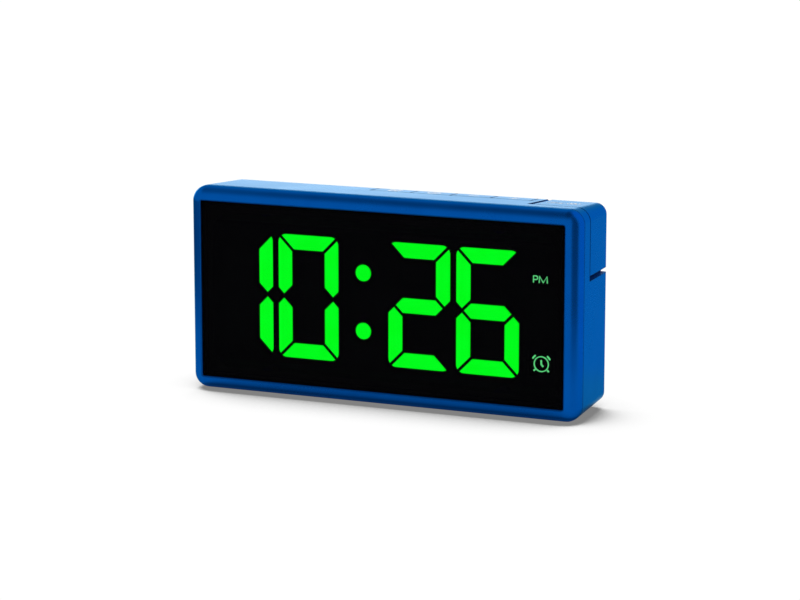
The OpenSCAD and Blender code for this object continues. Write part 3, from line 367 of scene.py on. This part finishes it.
def metal(name, dark, light, roughness, stretch):
    f = Finish(name)
    lines = f.noise(f.place(stretch), DRAWN_LINE, detail=4.0, roughness=0.6)
    glossy, dull = roughness - METAL_SPREAD, roughness + METAL_SPREAD
    f.set(
        Base_Color=f.mix(f.band(lines, *BROAD), dark, light),
        Metallic=1.0,
        Roughness=f.band(lines, *BROAD, glossy, dull),
        Normal=f.bump(lines, DRAWN_DEPTH, strength=0.4),
    )
    return f.material


def lacquered_board():
    f = Finish("lacquered_board")
    where = f.place()
    upright = f.node("ShaderNodeMapping", inputs={
        "Vector": where, "Rotation": (math.radians(90), 0, 0)})
    tracks = f.node("ShaderNodeTexBrick", {"offset": 0.5}, {
        "Vector": upright, "Scale": 1.0,
        "Brick Width": TRACK_LENGTH, "Row Height": TRACK_PITCH, "Mortar Size": TRACK_GAP,
        "Color1": rgb(0, 0, 0), "Color2": rgb(0.1, 0.1, 0.1), "Mortar": PURE_WHITE}, output="Fac")
    cloud = f.noise(where, BOARD_CLOUD)
    lacquer = f.mix(f.band(cloud, *BROAD), *BOARD_GREENS)
    f.set(
        Base_Color=f.mix(tracks, lacquer, TRACK_GREEN),
        Roughness=f.band(cloud, *BROAD, 0.22, 0.32),
        Specular_IOR_Level=0.4,
        Normal=f.bump(tracks, TRACK_DEPTH, strength=0.6),
    )
    return f.material


BLACK = grained(
    "black_plastic", rgb(0.008, 0.008, 0.009), rgb(0.012, 0.012, 0.013),
    grain=0.0004, roughness=0.55, depth=0.00001, specular=0.15)
UNLIT = grained(
    "unlit_resin", rgb(0.004, 0.005, 0.004), rgb(0.006, 0.007, 0.006),
    grain=0.001, roughness=0.6, depth=0.000005, specular=0.1)
WHITE = grained(
    "white_plastic", rgb(0.70, 0.70, 0.67), rgb(0.78, 0.78, 0.75),
    grain=0.0005, roughness=0.45, depth=0.00001)
RUBBER = grained(
    "black_rubber", rgb(0.018, 0.018, 0.018), rgb(0.028, 0.028, 0.027),
    grain=0.0006, roughness=0.75, depth=0.00005)
INK = grained(
    "white_ink", rgb(0.90, 0.90, 0.91), rgb(0.94, 0.94, 0.95),
    grain=0.0002, roughness=0.5, depth=0.000004)
STEEL = metal(
    "plated_steel", rgb(0.50, 0.51, 0.53), rgb(0.62, 0.63, 0.65),
    roughness=0.28, stretch=(1.0, 8.0, 1.0))
CAN = metal(
    "drawn_aluminium", rgb(0.66, 0.67, 0.69), rgb(0.76, 0.77, 0.78),
    roughness=0.35, stretch=(1.0, 6.0, 1.0))
SPRING = metal(
    "tinned_spring", rgb(0.58, 0.50, 0.33), rgb(0.70, 0.62, 0.42),
    roughness=0.3, stretch=(6.0, 1.0, 1.0))
BOARD = lacquered_board()
print("made", len(bpy.data.materials), "materials")

# %% [markdown]
# ## Dressing the CAD pieces
# A CAD piece keeps its own mesh; only its material slot changes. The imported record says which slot
# each piece belongs to, so one small table is enough.

# %% A finish for every node
SLOT_FINISH = {
    "blue_case": BLUE, "dark_window": WINDOW, "black_plastic": BLACK, "white_plastic": WHITE,
    "green_light": GLOW, "pale_green_light": PALE_GLOW, "dark_resin": UNLIT, "green_board": BOARD,
    "steel": STEEL, "aluminium_can": CAN, "spring_brass": SPRING, "rubber": RUBBER,
}
slot_of = {part["node"]: part["material_slot"] for part in frame["record"]["subparts"]}
for name, piece in frame["nodes"].items():
    piece.data.materials.clear()
    piece.data.materials.append(SLOT_FINISH[slot_of[name]])
print("dressed", len(slot_of), "nodes")

# %% [markdown]
# ## Smooth skins for the mouldings
# The CAD mesh is made of flat triangles, which shows as bands on a rounded bezel. A copy of each
# rounded piece on the outside has its doubled points merged, its round faces shaded smooth and its
# real edges kept sharp. The Weighted Normal modifier then lets the large flat faces decide the
# shading, so they stay flat right up to a rounding. The copy stands for the CAD piece, which stays
# in the scene, hidden. The copy stands for the CAD piece, which stays for collision.

# %% Skins
SHARP_ANGLE = math.radians(28)
SAME_POINT, NO_LENGTH = 2e-6, 1e-7
FLAT_WEIGHT = 80
SKINNED = {
    "front_frame": "case", "rear_housing": "case", "battery_cover": "cover", "foot_pads": "case",
    "alarm_key": "alarm_button", "clock_key": "clock_button", "minus_key": "minus_button",
    "plus_key": "plus_button", "snooze_key": "snooze_button", "usb_socket": "case",
}


def settle(piece, body):
    """Makes a finished piece plain, and lets it ride on its body."""
    mesh = evaluated_mesh(piece)
    piece.modifiers.clear()
    piece.data = mesh
    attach(piece, body)


def skin(node, body):
    """A smooth copy of a CAD piece, which it replaces."""
    piece = add_object(node + "_skin", frame["nodes"][node].data.copy())
    shell = bmesh.new()
    shell.from_mesh(piece.data)
    bmesh.ops.remove_doubles(shell, verts=shell.verts, dist=SAME_POINT)
    bmesh.ops.dissolve_degenerate(shell, edges=shell.edges, dist=NO_LENGTH)
    for face in shell.faces:
        face.smooth = True
    for edge in shell.edges:
        joined = len(edge.link_faces) == 2
        edge.smooth = joined and edge.calc_face_angle(math.pi) < SHARP_ANGLE
    shell.to_mesh(piece.data)
    shell.free()
    piece.data.attributes.remove(piece.data.attributes["custom_normal"])
    weighted = piece.modifiers.new("weighted", "WEIGHTED_NORMAL")
    weighted.keep_sharp = True
    weighted.weight = FLAT_WEIGHT
    settle(piece, body)
    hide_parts(node)
    return piece


skins = {node: skin(node, body) for node, body in SKINNED.items()}
for node, piece in skins.items():
    print("skin of", node, len(piece.data.polygons), "faces")

# %% [markdown]
# ## A geometry-nodes pen for printed marks
# The marks on the keys are screen printed: strokes of white ink with an even width. A printed
# stroke follows a path, which is just what Curve to Mesh does. The tree below takes any curve,
# gives it a flat section that the radius of each point can narrow, and ends in a real mesh. Its
# inputs are the stroke's width, the ink's thickness and the ink itself.


# %% The pen
def new_tree(name, inputs):
    """An empty geometry tree with named inputs; returns it with its ends and its socket names."""
    tree = bpy.data.node_groups.new(name, "GeometryNodeTree")
    tree.interface.new_socket("Geometry", in_out="INPUT", socket_type="NodeSocketGeometry")
    identifiers = {}
    for label, (kind, default) in inputs.items():
        socket = tree.interface.new_socket(label, in_out="INPUT", socket_type=kind)
        if default is not None:
            socket.default_value = default
        identifiers[label] = socket.identifier
    tree.interface.new_socket("Geometry", in_out="OUTPUT", socket_type="NodeSocketGeometry")
    return tree, tree.nodes.new("NodeGroupInput"), tree.nodes.new("NodeGroupOutput"), identifiers


def wire(tree, *pairs):
    for source, target in pairs:
        tree.links.new(source, target)


def pen_tree():
    tree, start, end, identifiers = new_tree("printed_stroke", {
        "Stroke Width": ("NodeSocketFloat", 0.4 * MM),
        "Ink Thickness": ("NodeSocketFloat", 0.05 * MM),
        "Ink": ("NodeSocketMaterial", None),
    })
    upright = tree.nodes.new("GeometryNodeSetCurveNormal")
    upright.mode = "Z_UP"
    section = tree.nodes.new("GeometryNodeCurvePrimitiveQuadrilateral")
    taper = tree.nodes.new("GeometryNodeInputRadius")
    sweep = tree.nodes.new("GeometryNodeCurveToMesh")
    sweep.inputs["Fill Caps"].default_value = True
    real = tree.nodes.new("GeometryNodeRealizeInstances")
    ink = tree.nodes.new("GeometryNodeSetMaterial")
    wire(
        tree,
        (start.outputs["Geometry"], upright.inputs["Curve"]),
        (start.outputs["Stroke Width"], section.inputs["Width"]),
        (start.outputs["Ink Thickness"], section.inputs["Height"]),
        (upright.outputs["Curve"], sweep.inputs["Curve"]),
        (section.outputs["Curve"], sweep.inputs["Profile Curve"]),
        (taper.outputs["Radius"], sweep.inputs["Scale"]),
        (sweep.outputs["Mesh"], real.inputs["Geometry"]),
        (real.outputs["Geometry"], ink.inputs["Geometry"]),
        (start.outputs["Ink"], ink.inputs["Material"]),
        (ink.outputs["Geometry"], end.inputs["Geometry"]),
    )
    return tree, identifiers


PEN, PEN_INPUTS = pen_tree()
print("pen inputs:", list(PEN_INPUTS))

# %% [markdown]
# ## Marks for five keys
# The marks are common signs: a small alarm clock, a plain clock face, minus, plus, and on the large
# key a sleeping Z pair beside a little sun for the light. Each mark is a list of paths, each with
# a word on whether it closes, in millimetres around the middle of its key, with up on the page
# towards the back of the clock.

# %% Paths
CENTRE, SUN = (0.0, 0.0), (3.6, 0.0)
OPEN, CLOSED = False, True


def arc(radius, start, stop, steps=24, centre=CENTRE):
    """Points on a circle between two angles in degrees."""
    count = max(2, int(steps * abs(stop - start) / 360) + 1)
    angles = [math.radians(start + (stop - start) * i / (count - 1)) for i in range(count)]
    return [(centre[0] + radius * math.cos(a), centre[1] + radius * math.sin(a)) for a in angles]


def ring(radius, centre=CENTRE):
    """A full circle, as a closed path."""
    return arc(radius, 0, 360, 40, centre), CLOSED


def ray(angle, inner, outer, centre=CENTRE):
    """A short straight path that points away from a centre."""
    a = math.radians(angle)
    ends = [(centre[0] + r * math.cos(a), centre[1] + r * math.sin(a)) for r in (inner, outer)]
    return ends, OPEN


def zed(left, low, width, height):
    """The letter Z, as an open path."""
    right, top = left + width, low + height
    return [(left, top), (right, top), (left, low), (right, low)], OPEN


alarm_mark = [
    ring(2.0),
    ([(0.0, 1.1), (0.0, 0.0), (0.75, -0.55)], OPEN),
    (arc(2.95, 32, 68, 60), OPEN),
    (arc(2.95, 112, 148, 60), OPEN),
    ray(-55, 2.35, 3.0),
    ray(-125, 2.35, 3.0),
]
clock_mark = [
    ring(2.2),
    ([(0.0, 1.35), (0.0, 0.0), (0.95, 0.0)], OPEN),
]
minus_mark = [([(-2.0, 0.0), (2.0, 0.0)], OPEN)]
plus_mark = minus_mark + [
    ([(0.0, 0.31), (0.0, 2.0)], OPEN),
    ([(0.0, -2.0), (0.0, -0.31)], OPEN),
]
snooze_mark = [
    zed(-5.6, -1.8, 2.9, 3.6),
    zed(-1.9, -1.8, 1.9, 2.2),
    ring(1.05, SUN),
] + [ray(45 * k, 1.85, 2.6, SUN) for k in range(8)]
print("paths on the large key:", len(snooze_mark))

# %% Strokes
# Length of a stroke's narrowing end in millimetres, and the share of the width that is left there
PEN_END, PEN_TAPER = 0.16, 0.5


def with_ends(points):
    """Adds a point near each end of an open path, where the pen starts to narrow."""
    first, second, before, last = (Vector(points[i]) for i in (0, 1, -2, -1))
    start = first + (second - first).normalized() * PEN_END
    stop = last + (before - last).normalized() * PEN_END
    return [points[0], tuple(start), *points[1:-1], tuple(stop), points[-1]]


def stroke_mesh(name, paths, width, thickness, ink, lay):
    """The mesh of pen strokes along paths; lay turns a path's x and y into a place."""
    curve = bpy.data.curves.new(name, "CURVE")
    curve.dimensions = "3D"
    for points, closed in paths:
        points = points[:-1] if closed else with_ends(points)
        spline = curve.splines.new("POLY")
        spline.points.add(len(points) - 1)
        spline.use_cyclic_u = closed
        for target, (x, y) in zip(spline.points, points):
            target.co = (*lay(x * MM, y * MM), 1.0)
        if not closed:
            spline.points[0].radius = spline.points[-1].radius = PEN_TAPER
    piece = add_object(name, curve)
    pen = piece.modifiers.new("pen", "NODES")
    pen.node_group = PEN
    pen[PEN_INPUTS["Stroke Width"]] = width
    pen[PEN_INPUTS["Ink Thickness"]] = thickness
    pen[PEN_INPUTS["Ink"]] = ink
    mesh = evaluated_mesh(piece)
    bpy.data.objects.remove(piece)
    return mesh


print("a stroke narrows to", PEN_TAPER, "of its width")

# %% Print the marks
PRINT_WIDTH, PRINT_THICKNESS = 0.62 * MM, 0.05 * MM
ABOVE_KEY, DOWN = 5 * MM, Vector((0, 0, -1))
KEY_TOP, REAR_ROUNDING, CORNER = 8.8 * MM, 1.0 * MM, 5.6 * MM
MARKS = {
    "alarm": alarm_mark, "clock": clock_mark, "minus": minus_mark,
    "plus": plus_mark, "snooze": snooze_mark,
}


def printed_mark(name, paths, centre, key_skin, body):
    """Ink strokes laid on a sloping top, half sunk so that they never float."""
    surface = BVHTree.FromPolygons(
        [v.co for v in key_skin.data.vertices],
        [list(face.vertices) for face in key_skin.data.polygons])

    def lay(x, y):
        above = Vector((centre.x + x, centre.y + y, centre.z + ABOVE_KEY))
        return surface.ray_cast(above, DOWN)[0]

    mark = add_object(name, stroke_mesh(name, paths, PRINT_WIDTH, PRINT_THICKNESS, INK, lay))
    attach(mark, body)
    return mark


def key_middle(node):
    """The middle of a key's top, inside its roundings."""
    low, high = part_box(node)
    wraps = node == "snooze_key"
    front = low.y if wraps else high.y - KEY_TOP
    side = high.x - CORNER if wraps else high.x
    return Vector(((low.x + side) / 2, (front + high.y - REAR_ROUNDING) / 2, high.z))


for key, paths in MARKS.items():
    node = key + "_key"
    mark = printed_mark(key + "_mark", paths, key_middle(node), skins[node], key + "_button")
    print("printed", mark.name, len(mark.data.polygons), "faces")

# %% [markdown]
# ## Two lit signs
# The same pen draws the two small signs beside the digits: the letters of the afternoon and a
# little alarm clock. Each sign is a thin plate behind the window with raised strokes. The finish of
# the signs lights only what is raised.

# %% Lit signs
THIN_STROKE, BOLD_STROKE, PLATE_BEVEL = 0.36 * MM, 0.56 * MM, 0.15 * MM
DIAL = (0.25, 0.0)
LETTER_BOW = arc(0.63, 90, -90, 24, (-2.00, 0.57))
PM_PATHS = [
    ([(-2.90, -1.20), (-2.90, 1.20), (-2.00, 1.20)] + LETTER_BOW + [(-2.75, -0.06)], OPEN),
    ([(-0.80, -1.20), (-0.67, 1.20), (0.70, -1.00), (2.07, 1.20), (2.20, -1.20)], OPEN),
]
CLOCK_RING = [ring(2.62, DIAL)]
CLOCK_SOLID = [
    ([(0.2, 1.45), (0.25, -0.05), (1.0, -0.95)], OPEN),
    (arc(3.62, 27, 55, 90, DIAL), OPEN),
    (arc(3.62, 125, 153, 90, DIAL), OPEN),
    ray(-42, 2.85, 3.85, DIAL),
    ray(-138, 2.85, 3.85, DIAL),
]
SIGNS = {
    "pm_indicator": [(PM_PATHS, THIN_STROKE)],
    "alarm_indicator": [(CLOCK_RING, THIN_STROKE), (CLOCK_SOLID, BOLD_STROKE)],
}


def lit_sign(node, strokes):
    """A plate with raised strokes in place of the plain CAD sign."""
    low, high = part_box(node)
    middle, size = (low + high) / 2, high - low
    shape = bmesh.new()
    for v in bmesh.ops.create_cube(shape, size=1.0)["verts"]:
        v.co = Vector((
            v.co.x * size.x, v.co.y * size.z, (v.co.z - 0.5) * (size.y - SIGN_RAISED)))
    bmesh.ops.bevel(shape, geom=shape.edges[:], offset=PLATE_BEVEL, segments=2, affect="EDGES")
    for paths, width in strokes:
        shape.from_mesh(stroke_mesh(
            node, paths, width, 2 * SIGN_RAISED, PALE_GLOW, lambda x, y: (x, y, 0.0)))
    mesh = mesh_of(shape, node + "_drawn")
    upright = Matrix.Rotation(math.radians(90), 4, "X")
    mesh.transform(Matrix.Translation((middle.x, low.y + SIGN_RAISED, middle.z)) @ upright)
    mesh.materials.clear()
    mesh.materials.append(PALE_GLOW)
    sign = add_object(node + "_drawn", mesh)
    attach(sign, "case")
    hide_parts(node)
    return sign


for node, strokes in SIGNS.items():
    sign = lit_sign(node, strokes)
    print("drew", sign.name, len(sign.data.polygons), "faces")

# %% [markdown]
# ## The black mask of the window
# Behind the window's edge a real sheet carries a band of black ink, which hides the glue, the ledge
# and the screw bosses. It is a thin ring with cut inner corners: eight points outside, eight
# inside, bridged to a closed band.

# %% Window mask
LEDGE, MASK_W, MASK_T = 1.65 * MM, 1.9 * MM, 0.06 * MM
OUTER_CUT, INNER_CUT = 0.3 * MM, 5.0 * MM


def bridge(shape, first, second):
    """Quads between two closed rows of points."""
    count = len(first)
    for i in range(count):
        after = (i + 1) % count
        shape.faces.new((first[i], first[after], second[after], second[i]))


def window_mask():
    low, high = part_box("display_window")
    middle = (low + high) / 2
    half = (high - low) / 2
    shape = bmesh.new()

    def loop(inset, cut_corner, depth):
        across, tall = half.x - LEDGE - inset, half.z - LEDGE - inset
        corner = [(across, tall - cut_corner), (across - cut_corner, tall)]
        points = []
        for turn_x, turn_z in ((1, 1), (-1, 1), (-1, -1), (1, -1)):
            pair = corner if turn_x * turn_z > 0 else list(reversed(corner))
            for x, z in pair:
                place = (middle.x + turn_x * x, depth, middle.z + turn_z * z)
                points.append(shape.verts.new(place))
        return points

    front, back = high.y, high.y + MASK_T
    rings = [
        loop(0.0, OUTER_CUT, front), loop(MASK_W, INNER_CUT, front),
        loop(MASK_W, INNER_CUT, back), loop(0.0, OUTER_CUT, back),
    ]
    for first, second in zip(rings, rings[1:] + rings[:1]):
        bridge(shape, first, second)
    bmesh.ops.recalc_face_normals(shape, faces=shape.faces)
    mesh = mesh_of(shape, "window_mask")
    mesh.materials.append(BLACK)
    mask = add_object("window_mask", mesh)
    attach(mask, "case")
    return mask


print("mask faces:", len(window_mask().data.polygons))

# %% [markdown]
# ## Screws by the handful
# The case is closed by four equal screws that sit deep in the back. One screw is drawn well, with a
# domed head, a cross recess and a thread, and geometry nodes put a copy at each place. Instances
# save work, but an export can't carry them, so the tree ends in Realize Instances.

# %% One good screw
SHANK_R, HEAD_R, HEAD_H, THREAD_PITCH = 1.2 * MM, 2.2 * MM, 1.6 * MM, 0.9 * MM
TIP_R, ROOT_R, HEAD_BASE_R, HEAD_RIM = 0.25 * SHANK_R, 0.8 * SHANK_R, 0.96 * HEAD_R, 0.06 * HEAD_H
# In pitches: where the first thread starts, and where a thread has its crest and its end
FIRST_THREAD, CREST, THREAD_END = 1.2, 0.4, 0.8
# The angles in degrees of the dome's rows, the power that squares it, and its base as a share
DOME_ANGLES, DOME_SQUARENESS, DOME_BASE = range(10, 77, 11), 0.6, 0.3
SCREW_SIDES, SCREW_SHARP = 32, math.radians(30)
RECESS_ARM, RECESS_W, RECESS_DEPTH = 1.15 * MM, 0.62 * MM, 1.1 * MM
RECESS_FLOOR, RECESS_ABOVE = 0.45, 0.05 * MM


def screw_profile(length):
    """Radius and height along a pan-head screw, with the underside of its head at zero."""
    profile = [(TIP_R, -length), (ROOT_R, -length + THREAD_PITCH)]
    for k in range(int((length - 2 * THREAD_PITCH) / THREAD_PITCH)):
        low = -length + THREAD_PITCH * (k + FIRST_THREAD)
        profile += [
            (ROOT_R, low), (SHANK_R, low + CREST * THREAD_PITCH),
            (ROOT_R, low + THREAD_END * THREAD_PITCH)]
    profile += [(ROOT_R, 0.0), (HEAD_BASE_R, 0.0), (HEAD_R, HEAD_RIM)]
    for angle in DOME_ANGLES:
        a = math.radians(angle)
        rise = DOME_BASE + (1.0 - DOME_BASE) * math.sin(a)
        profile.append((HEAD_R * math.cos(a) ** DOME_SQUARENESS, HEAD_H * rise))
    return profile


def screw_mesh(length):
    """A screw along +Z, turned from its profile."""
    shape = bmesh.new()
    turns = [2 * math.pi * i / SCREW_SIDES for i in range(SCREW_SIDES)]
    rows = [
        [shape.verts.new((radius * math.cos(a), radius * math.sin(a), height)) for a in turns]
        for radius, height in screw_profile(length)
    ]
    for first, second in zip(rows, rows[1:]):
        bridge(shape, first, second)
    shape.faces.new(list(reversed(rows[0])))
    shape.faces.new(rows[-1])
    bmesh.ops.recalc_face_normals(shape, faces=shape.faces)
    return mesh_of(shape, "screw")


def cross_cutter():
    """A cross with sloping walls that cuts the driver's recess."""
    shape = bmesh.new()
    for turn in (0, 90):
        block = bmesh.ops.create_cube(shape, size=1.0)["verts"]
        for v in block:
            slope = 1.0 if v.co.z > 0 else RECESS_FLOOR
            height = HEAD_H + (v.co.z - 0.5) * RECESS_DEPTH + RECESS_ABOVE
            v.co = Vector((v.co.x * 2 * RECESS_ARM * slope, v.co.y * RECESS_W * slope, height))
        turned = Matrix.Rotation(math.radians(turn), 3, "Z")
        bmesh.ops.rotate(shape, verts=block, matrix=turned)
    return mesh_of(shape, "cross")


low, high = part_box("case_screws")
screw = add_object("screw_pattern", screw_mesh(high.y - low.y - HEAD_H))
cutter = add_object("cross_pattern", cross_cutter())
recess = screw.modifiers.new("recess", "BOOLEAN")
recess.operation = "DIFFERENCE"
recess.object = cutter
recess.use_self = True
screw_shape = evaluated_mesh(screw)
screw_shape.transform(Matrix.Rotation(math.radians(-90), 4, "X"))
for face in screw_shape.polygons:
    face.use_smooth = True
screw_shape.set_sharp_from_angle(angle=SCREW_SHARP)
bpy.data.objects.remove(screw)
bpy.data.objects.remove(cutter)
print("screw faces:", len(screw_shape.polygons))

# %% Screws at their places
TURN_STEP, ONE_SCREW = 0.7, 6 * MM


def screw_tree(pattern):
    tree, start, end, identifiers = new_tree("screws_at_places", {
        "Turn Step": ("NodeSocketFloat", TURN_STEP),
        "Metal": ("NodeSocketMaterial", None),
    })
    info = tree.nodes.new("GeometryNodeObjectInfo")
    info.inputs["Object"].default_value = pattern
    index = tree.nodes.new("GeometryNodeInputIndex")
    turn = tree.nodes.new("ShaderNodeMath")
    turn.operation = "MULTIPLY"
    spin = tree.nodes.new("ShaderNodeCombineXYZ")
    copies = tree.nodes.new("GeometryNodeInstanceOnPoints")
    real = tree.nodes.new("GeometryNodeRealizeInstances")
    plate = tree.nodes.new("GeometryNodeSetMaterial")
    wire(
        tree,
        (start.outputs["Geometry"], copies.inputs["Points"]),
        (info.outputs["Geometry"], copies.inputs["Instance"]),
        (index.outputs["Index"], turn.inputs[0]),
        (start.outputs["Turn Step"], turn.inputs[1]),
        (turn.outputs["Value"], spin.inputs["Y"]),
        (spin.outputs["Vector"], copies.inputs["Rotation"]),
        (copies.outputs["Instances"], real.inputs["Geometry"]),
        (real.outputs["Geometry"], plate.inputs["Geometry"]),
        (start.outputs["Metal"], plate.inputs["Material"]),
        (plate.outputs["Geometry"], end.inputs["Geometry"]),
    )
    return tree, identifiers


def screw_places(node):
    """The middles of the separate screws in a CAD node, at the underside of their heads."""
    groups = []
    for v in frame["nodes"][node].data.vertices:
        for group in groups:
            if math.hypot(group[0].x - v.co.x, group[0].z - v.co.z) < ONE_SCREW:
                group.append(v.co.copy())
                break
        else:
            groups.append([v.co.copy()])
    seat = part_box(node)[1].y - HEAD_H
    places = []
    for group in groups:
        across, tall = [p.x for p in group], [p.z for p in group]
        places.append(((min(across) + max(across)) / 2, seat, (min(tall) + max(tall)) / 2))
    return places


pattern = add_object("screw_pattern", screw_shape)
screws, screw_inputs = screw_tree(pattern)
places = bpy.data.meshes.new("screw_places")
places.from_pydata(screw_places("case_screws"), [], [])
case_screws = add_object("case_screws_detailed", places)
put = case_screws.modifiers.new("put", "NODES")
put.node_group = screws
put[screw_inputs["Turn Step"]] = TURN_STEP
put[screw_inputs["Metal"]] = STEEL
settle(case_screws, "case")
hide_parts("case_screws")
bpy.data.objects.remove(pattern)
print("screws:", len(places.vertices), "faces:", len(case_screws.data.polygons))

# %% [markdown]
# ## The studio
# The clock stands on a white sweep. A floor that only glows is never darker under the object, so
# the glow is taken down by the share of the sky that the clock hides: the Ambient Occlusion node
# measures it. Its Normal leans to the left, so that the shadow falls a little to the right. Every
# ray sees the same floor, so the lacquer mirrors its soft shadow too.

# %% Floor
SHADOW_REACH, SHADOW_GAIN, SHADOW_FALL, SHADOW_MOST = 0.045, 6.6, 3.3, 0.80
SKY_SIDE = (-0.10, -0.05, 0.99)
FLOOR_GLOW, FLOOR_HALF = 1.02, 6


def studio_floor():
    f = Finish("white_sweep")
    sky = f.node("ShaderNodeCombineXYZ", inputs=dict(zip("XYZ", SKY_SIDE)))
    shade_mask = 1.0 - f.open_share(SHADOW_REACH, samples=16, Normal=sky)
    hidden = f.node("ShaderNodeMath", {"operation": "MAXIMUM"}, {0: shade_mask, 1: 0.0})
    shade = f.node("ShaderNodeMath", {"operation": "MINIMUM"}, {
        0: SHADOW_GAIN * hidden ** SHADOW_FALL, 1: SHADOW_MOST})
    f.glow_only(PURE_WHITE, FLOOR_GLOW - shade)
    return f.material


floor_mesh = bpy.data.meshes.new("floor")
floor_corners = [
    (x * FLOOR_HALF, y * FLOOR_HALF, 0) for x, y in ((-1, -1), (1, -1), (1, 1), (-1, 1))]
floor_mesh.from_pydata(floor_corners, [], [(0, 1, 2, 3)])
floor_mesh.materials.append(studio_floor())
floor = add_object("floor", floor_mesh)
print("shadow reaches", SHADOW_REACH, "m")

# %% [markdown]
# ## A white room with a dark ceiling
# Camera rays see plain white. All other rays see a white room whose walls darken towards the
# ceiling, which is what draws the dark line along the roundings. Three cards are seen only in
# reflections: a dark one on the right draws the same line on the upright edge, a grey one dims the
# left edge, and a pale blue one beside the clock keeps the blue of its right side pure. A low panel
# at the back left gives the top its pale sheen.

# %% Room
WALL_TOP, CEILING, CEILING_GLOW = 0.74, 0.96, 0.22
world = bpy.data.worlds.new("studio")
bpy.context.scene.world = world
room = Finish("studio", world)
direction = room.node("ShaderNodeTexCoord", output="Generated")
rise = room.node("ShaderNodeSeparateXYZ", inputs={"Vector": direction}, output="Z")
walls = room.band(rise, WALL_TOP, CEILING, 1.0, CEILING_GLOW)
camera_ray = room.node("ShaderNodeLightPath", output="Is Camera Ray")
room.set(Color=PURE_WHITE, Strength=camera_ray + (1.0 - camera_ray) * walls)
print("the ceiling glows at", CEILING_GLOW)


# %% Cards
def standing_card(name, near, far, height, level, tint=PURE_WHITE):
    """A card on the floor that only mirror-like rays see."""
    f = Finish(name)
    f.glow_only(tint, level)
    mesh = bpy.data.meshes.new(name)
    corners = [(*near, 0), (*far, 0), (*far, height), (*near, height)]
    mesh.from_pydata(corners, [], [(0, 1, 2, 3)])
    mesh.materials.append(f.material)
    card = add_object(name, mesh)
    for kind in ("camera", "diffuse", "shadow", "transmission"):
        setattr(card, "visible_" + kind, False)
    return card


cards = [
    standing_card("dark_card", (0.186, -0.115), (0.224, 0.001), height=0.30, level=0.28),
    standing_card("grey_card", (-0.20, -0.16), (-0.26, 0.16), height=0.06, level=0.4),
    standing_card(
        "blue_card", (0.075, 0.075), (0.20, 0.02), height=0.30, level=1.0,
        tint=rgb(0.25, 0.99, 1.24)),
]
print("cards:", [card.name for card in cards])


# %% Lamp
def softbox(name, place, target, width, height, radiance):
    """An area lamp whose face shines at the given level; 1 is as bright as white paper."""
    light = bpy.data.lights.new(name, "AREA")
    light.shape = "RECTANGLE"
    light.size = width
    light.size_y = height
    light.energy = math.pi * width * height * radiance
    lamp = add_object(name, light)
    lamp.location = place
    towards = Vector(target) - Vector(place)
    lamp.rotation_euler = towards.to_track_quat("-Z", "Y").to_euler()
    lamp.visible_camera = False
    return lamp


panel = softbox(
    "rear_panel", place=(-1.07, 1.33, 0.22), target=(0.0, 0.0, 0.075),
    width=1.6, height=0.6, radiance=1.75)
print("lamp:", panel.name)

# %% [markdown]
# ## The camera
# The picture was taken with a long lens from the right, a little above the clock. The angles, the
# distance and the focal length come from a fit of the case's edges, so the frame matches the
# photograph without any shift.

# %% Camera
YAW, PITCH = 0.417847, 0.188189
CAMERA_PLACE = (0.402113, -0.902633, 0.224334)
SENSOR_WIDTH, FOCAL_LENGTH = 36.0, 126.666
NEAREST, FARTHEST = 0.05, 50.0
level = math.cos(PITCH)
forward = Vector((-math.sin(YAW) * level, math.cos(YAW) * level, -math.sin(PITCH)))
right = Vector((math.cos(YAW), math.sin(YAW), 0.0))
up = right.cross(forward)
lens = bpy.data.cameras.new("camera")
lens.sensor_width = SENSOR_WIDTH
lens.lens = FOCAL_LENGTH
lens.clip_start = NEAREST
lens.clip_end = FARTHEST
camera = add_object("camera", lens)
turn = Matrix((right, up, -forward)).transposed().to_4x4()
camera.matrix_world = Matrix.Translation(CAMERA_PLACE) @ turn
bpy.context.scene.camera = camera
bpy.context.scene.view_settings.view_transform = "Standard"
print("camera at", [round(v, 4) for v in camera.location], "lens", lens.lens)
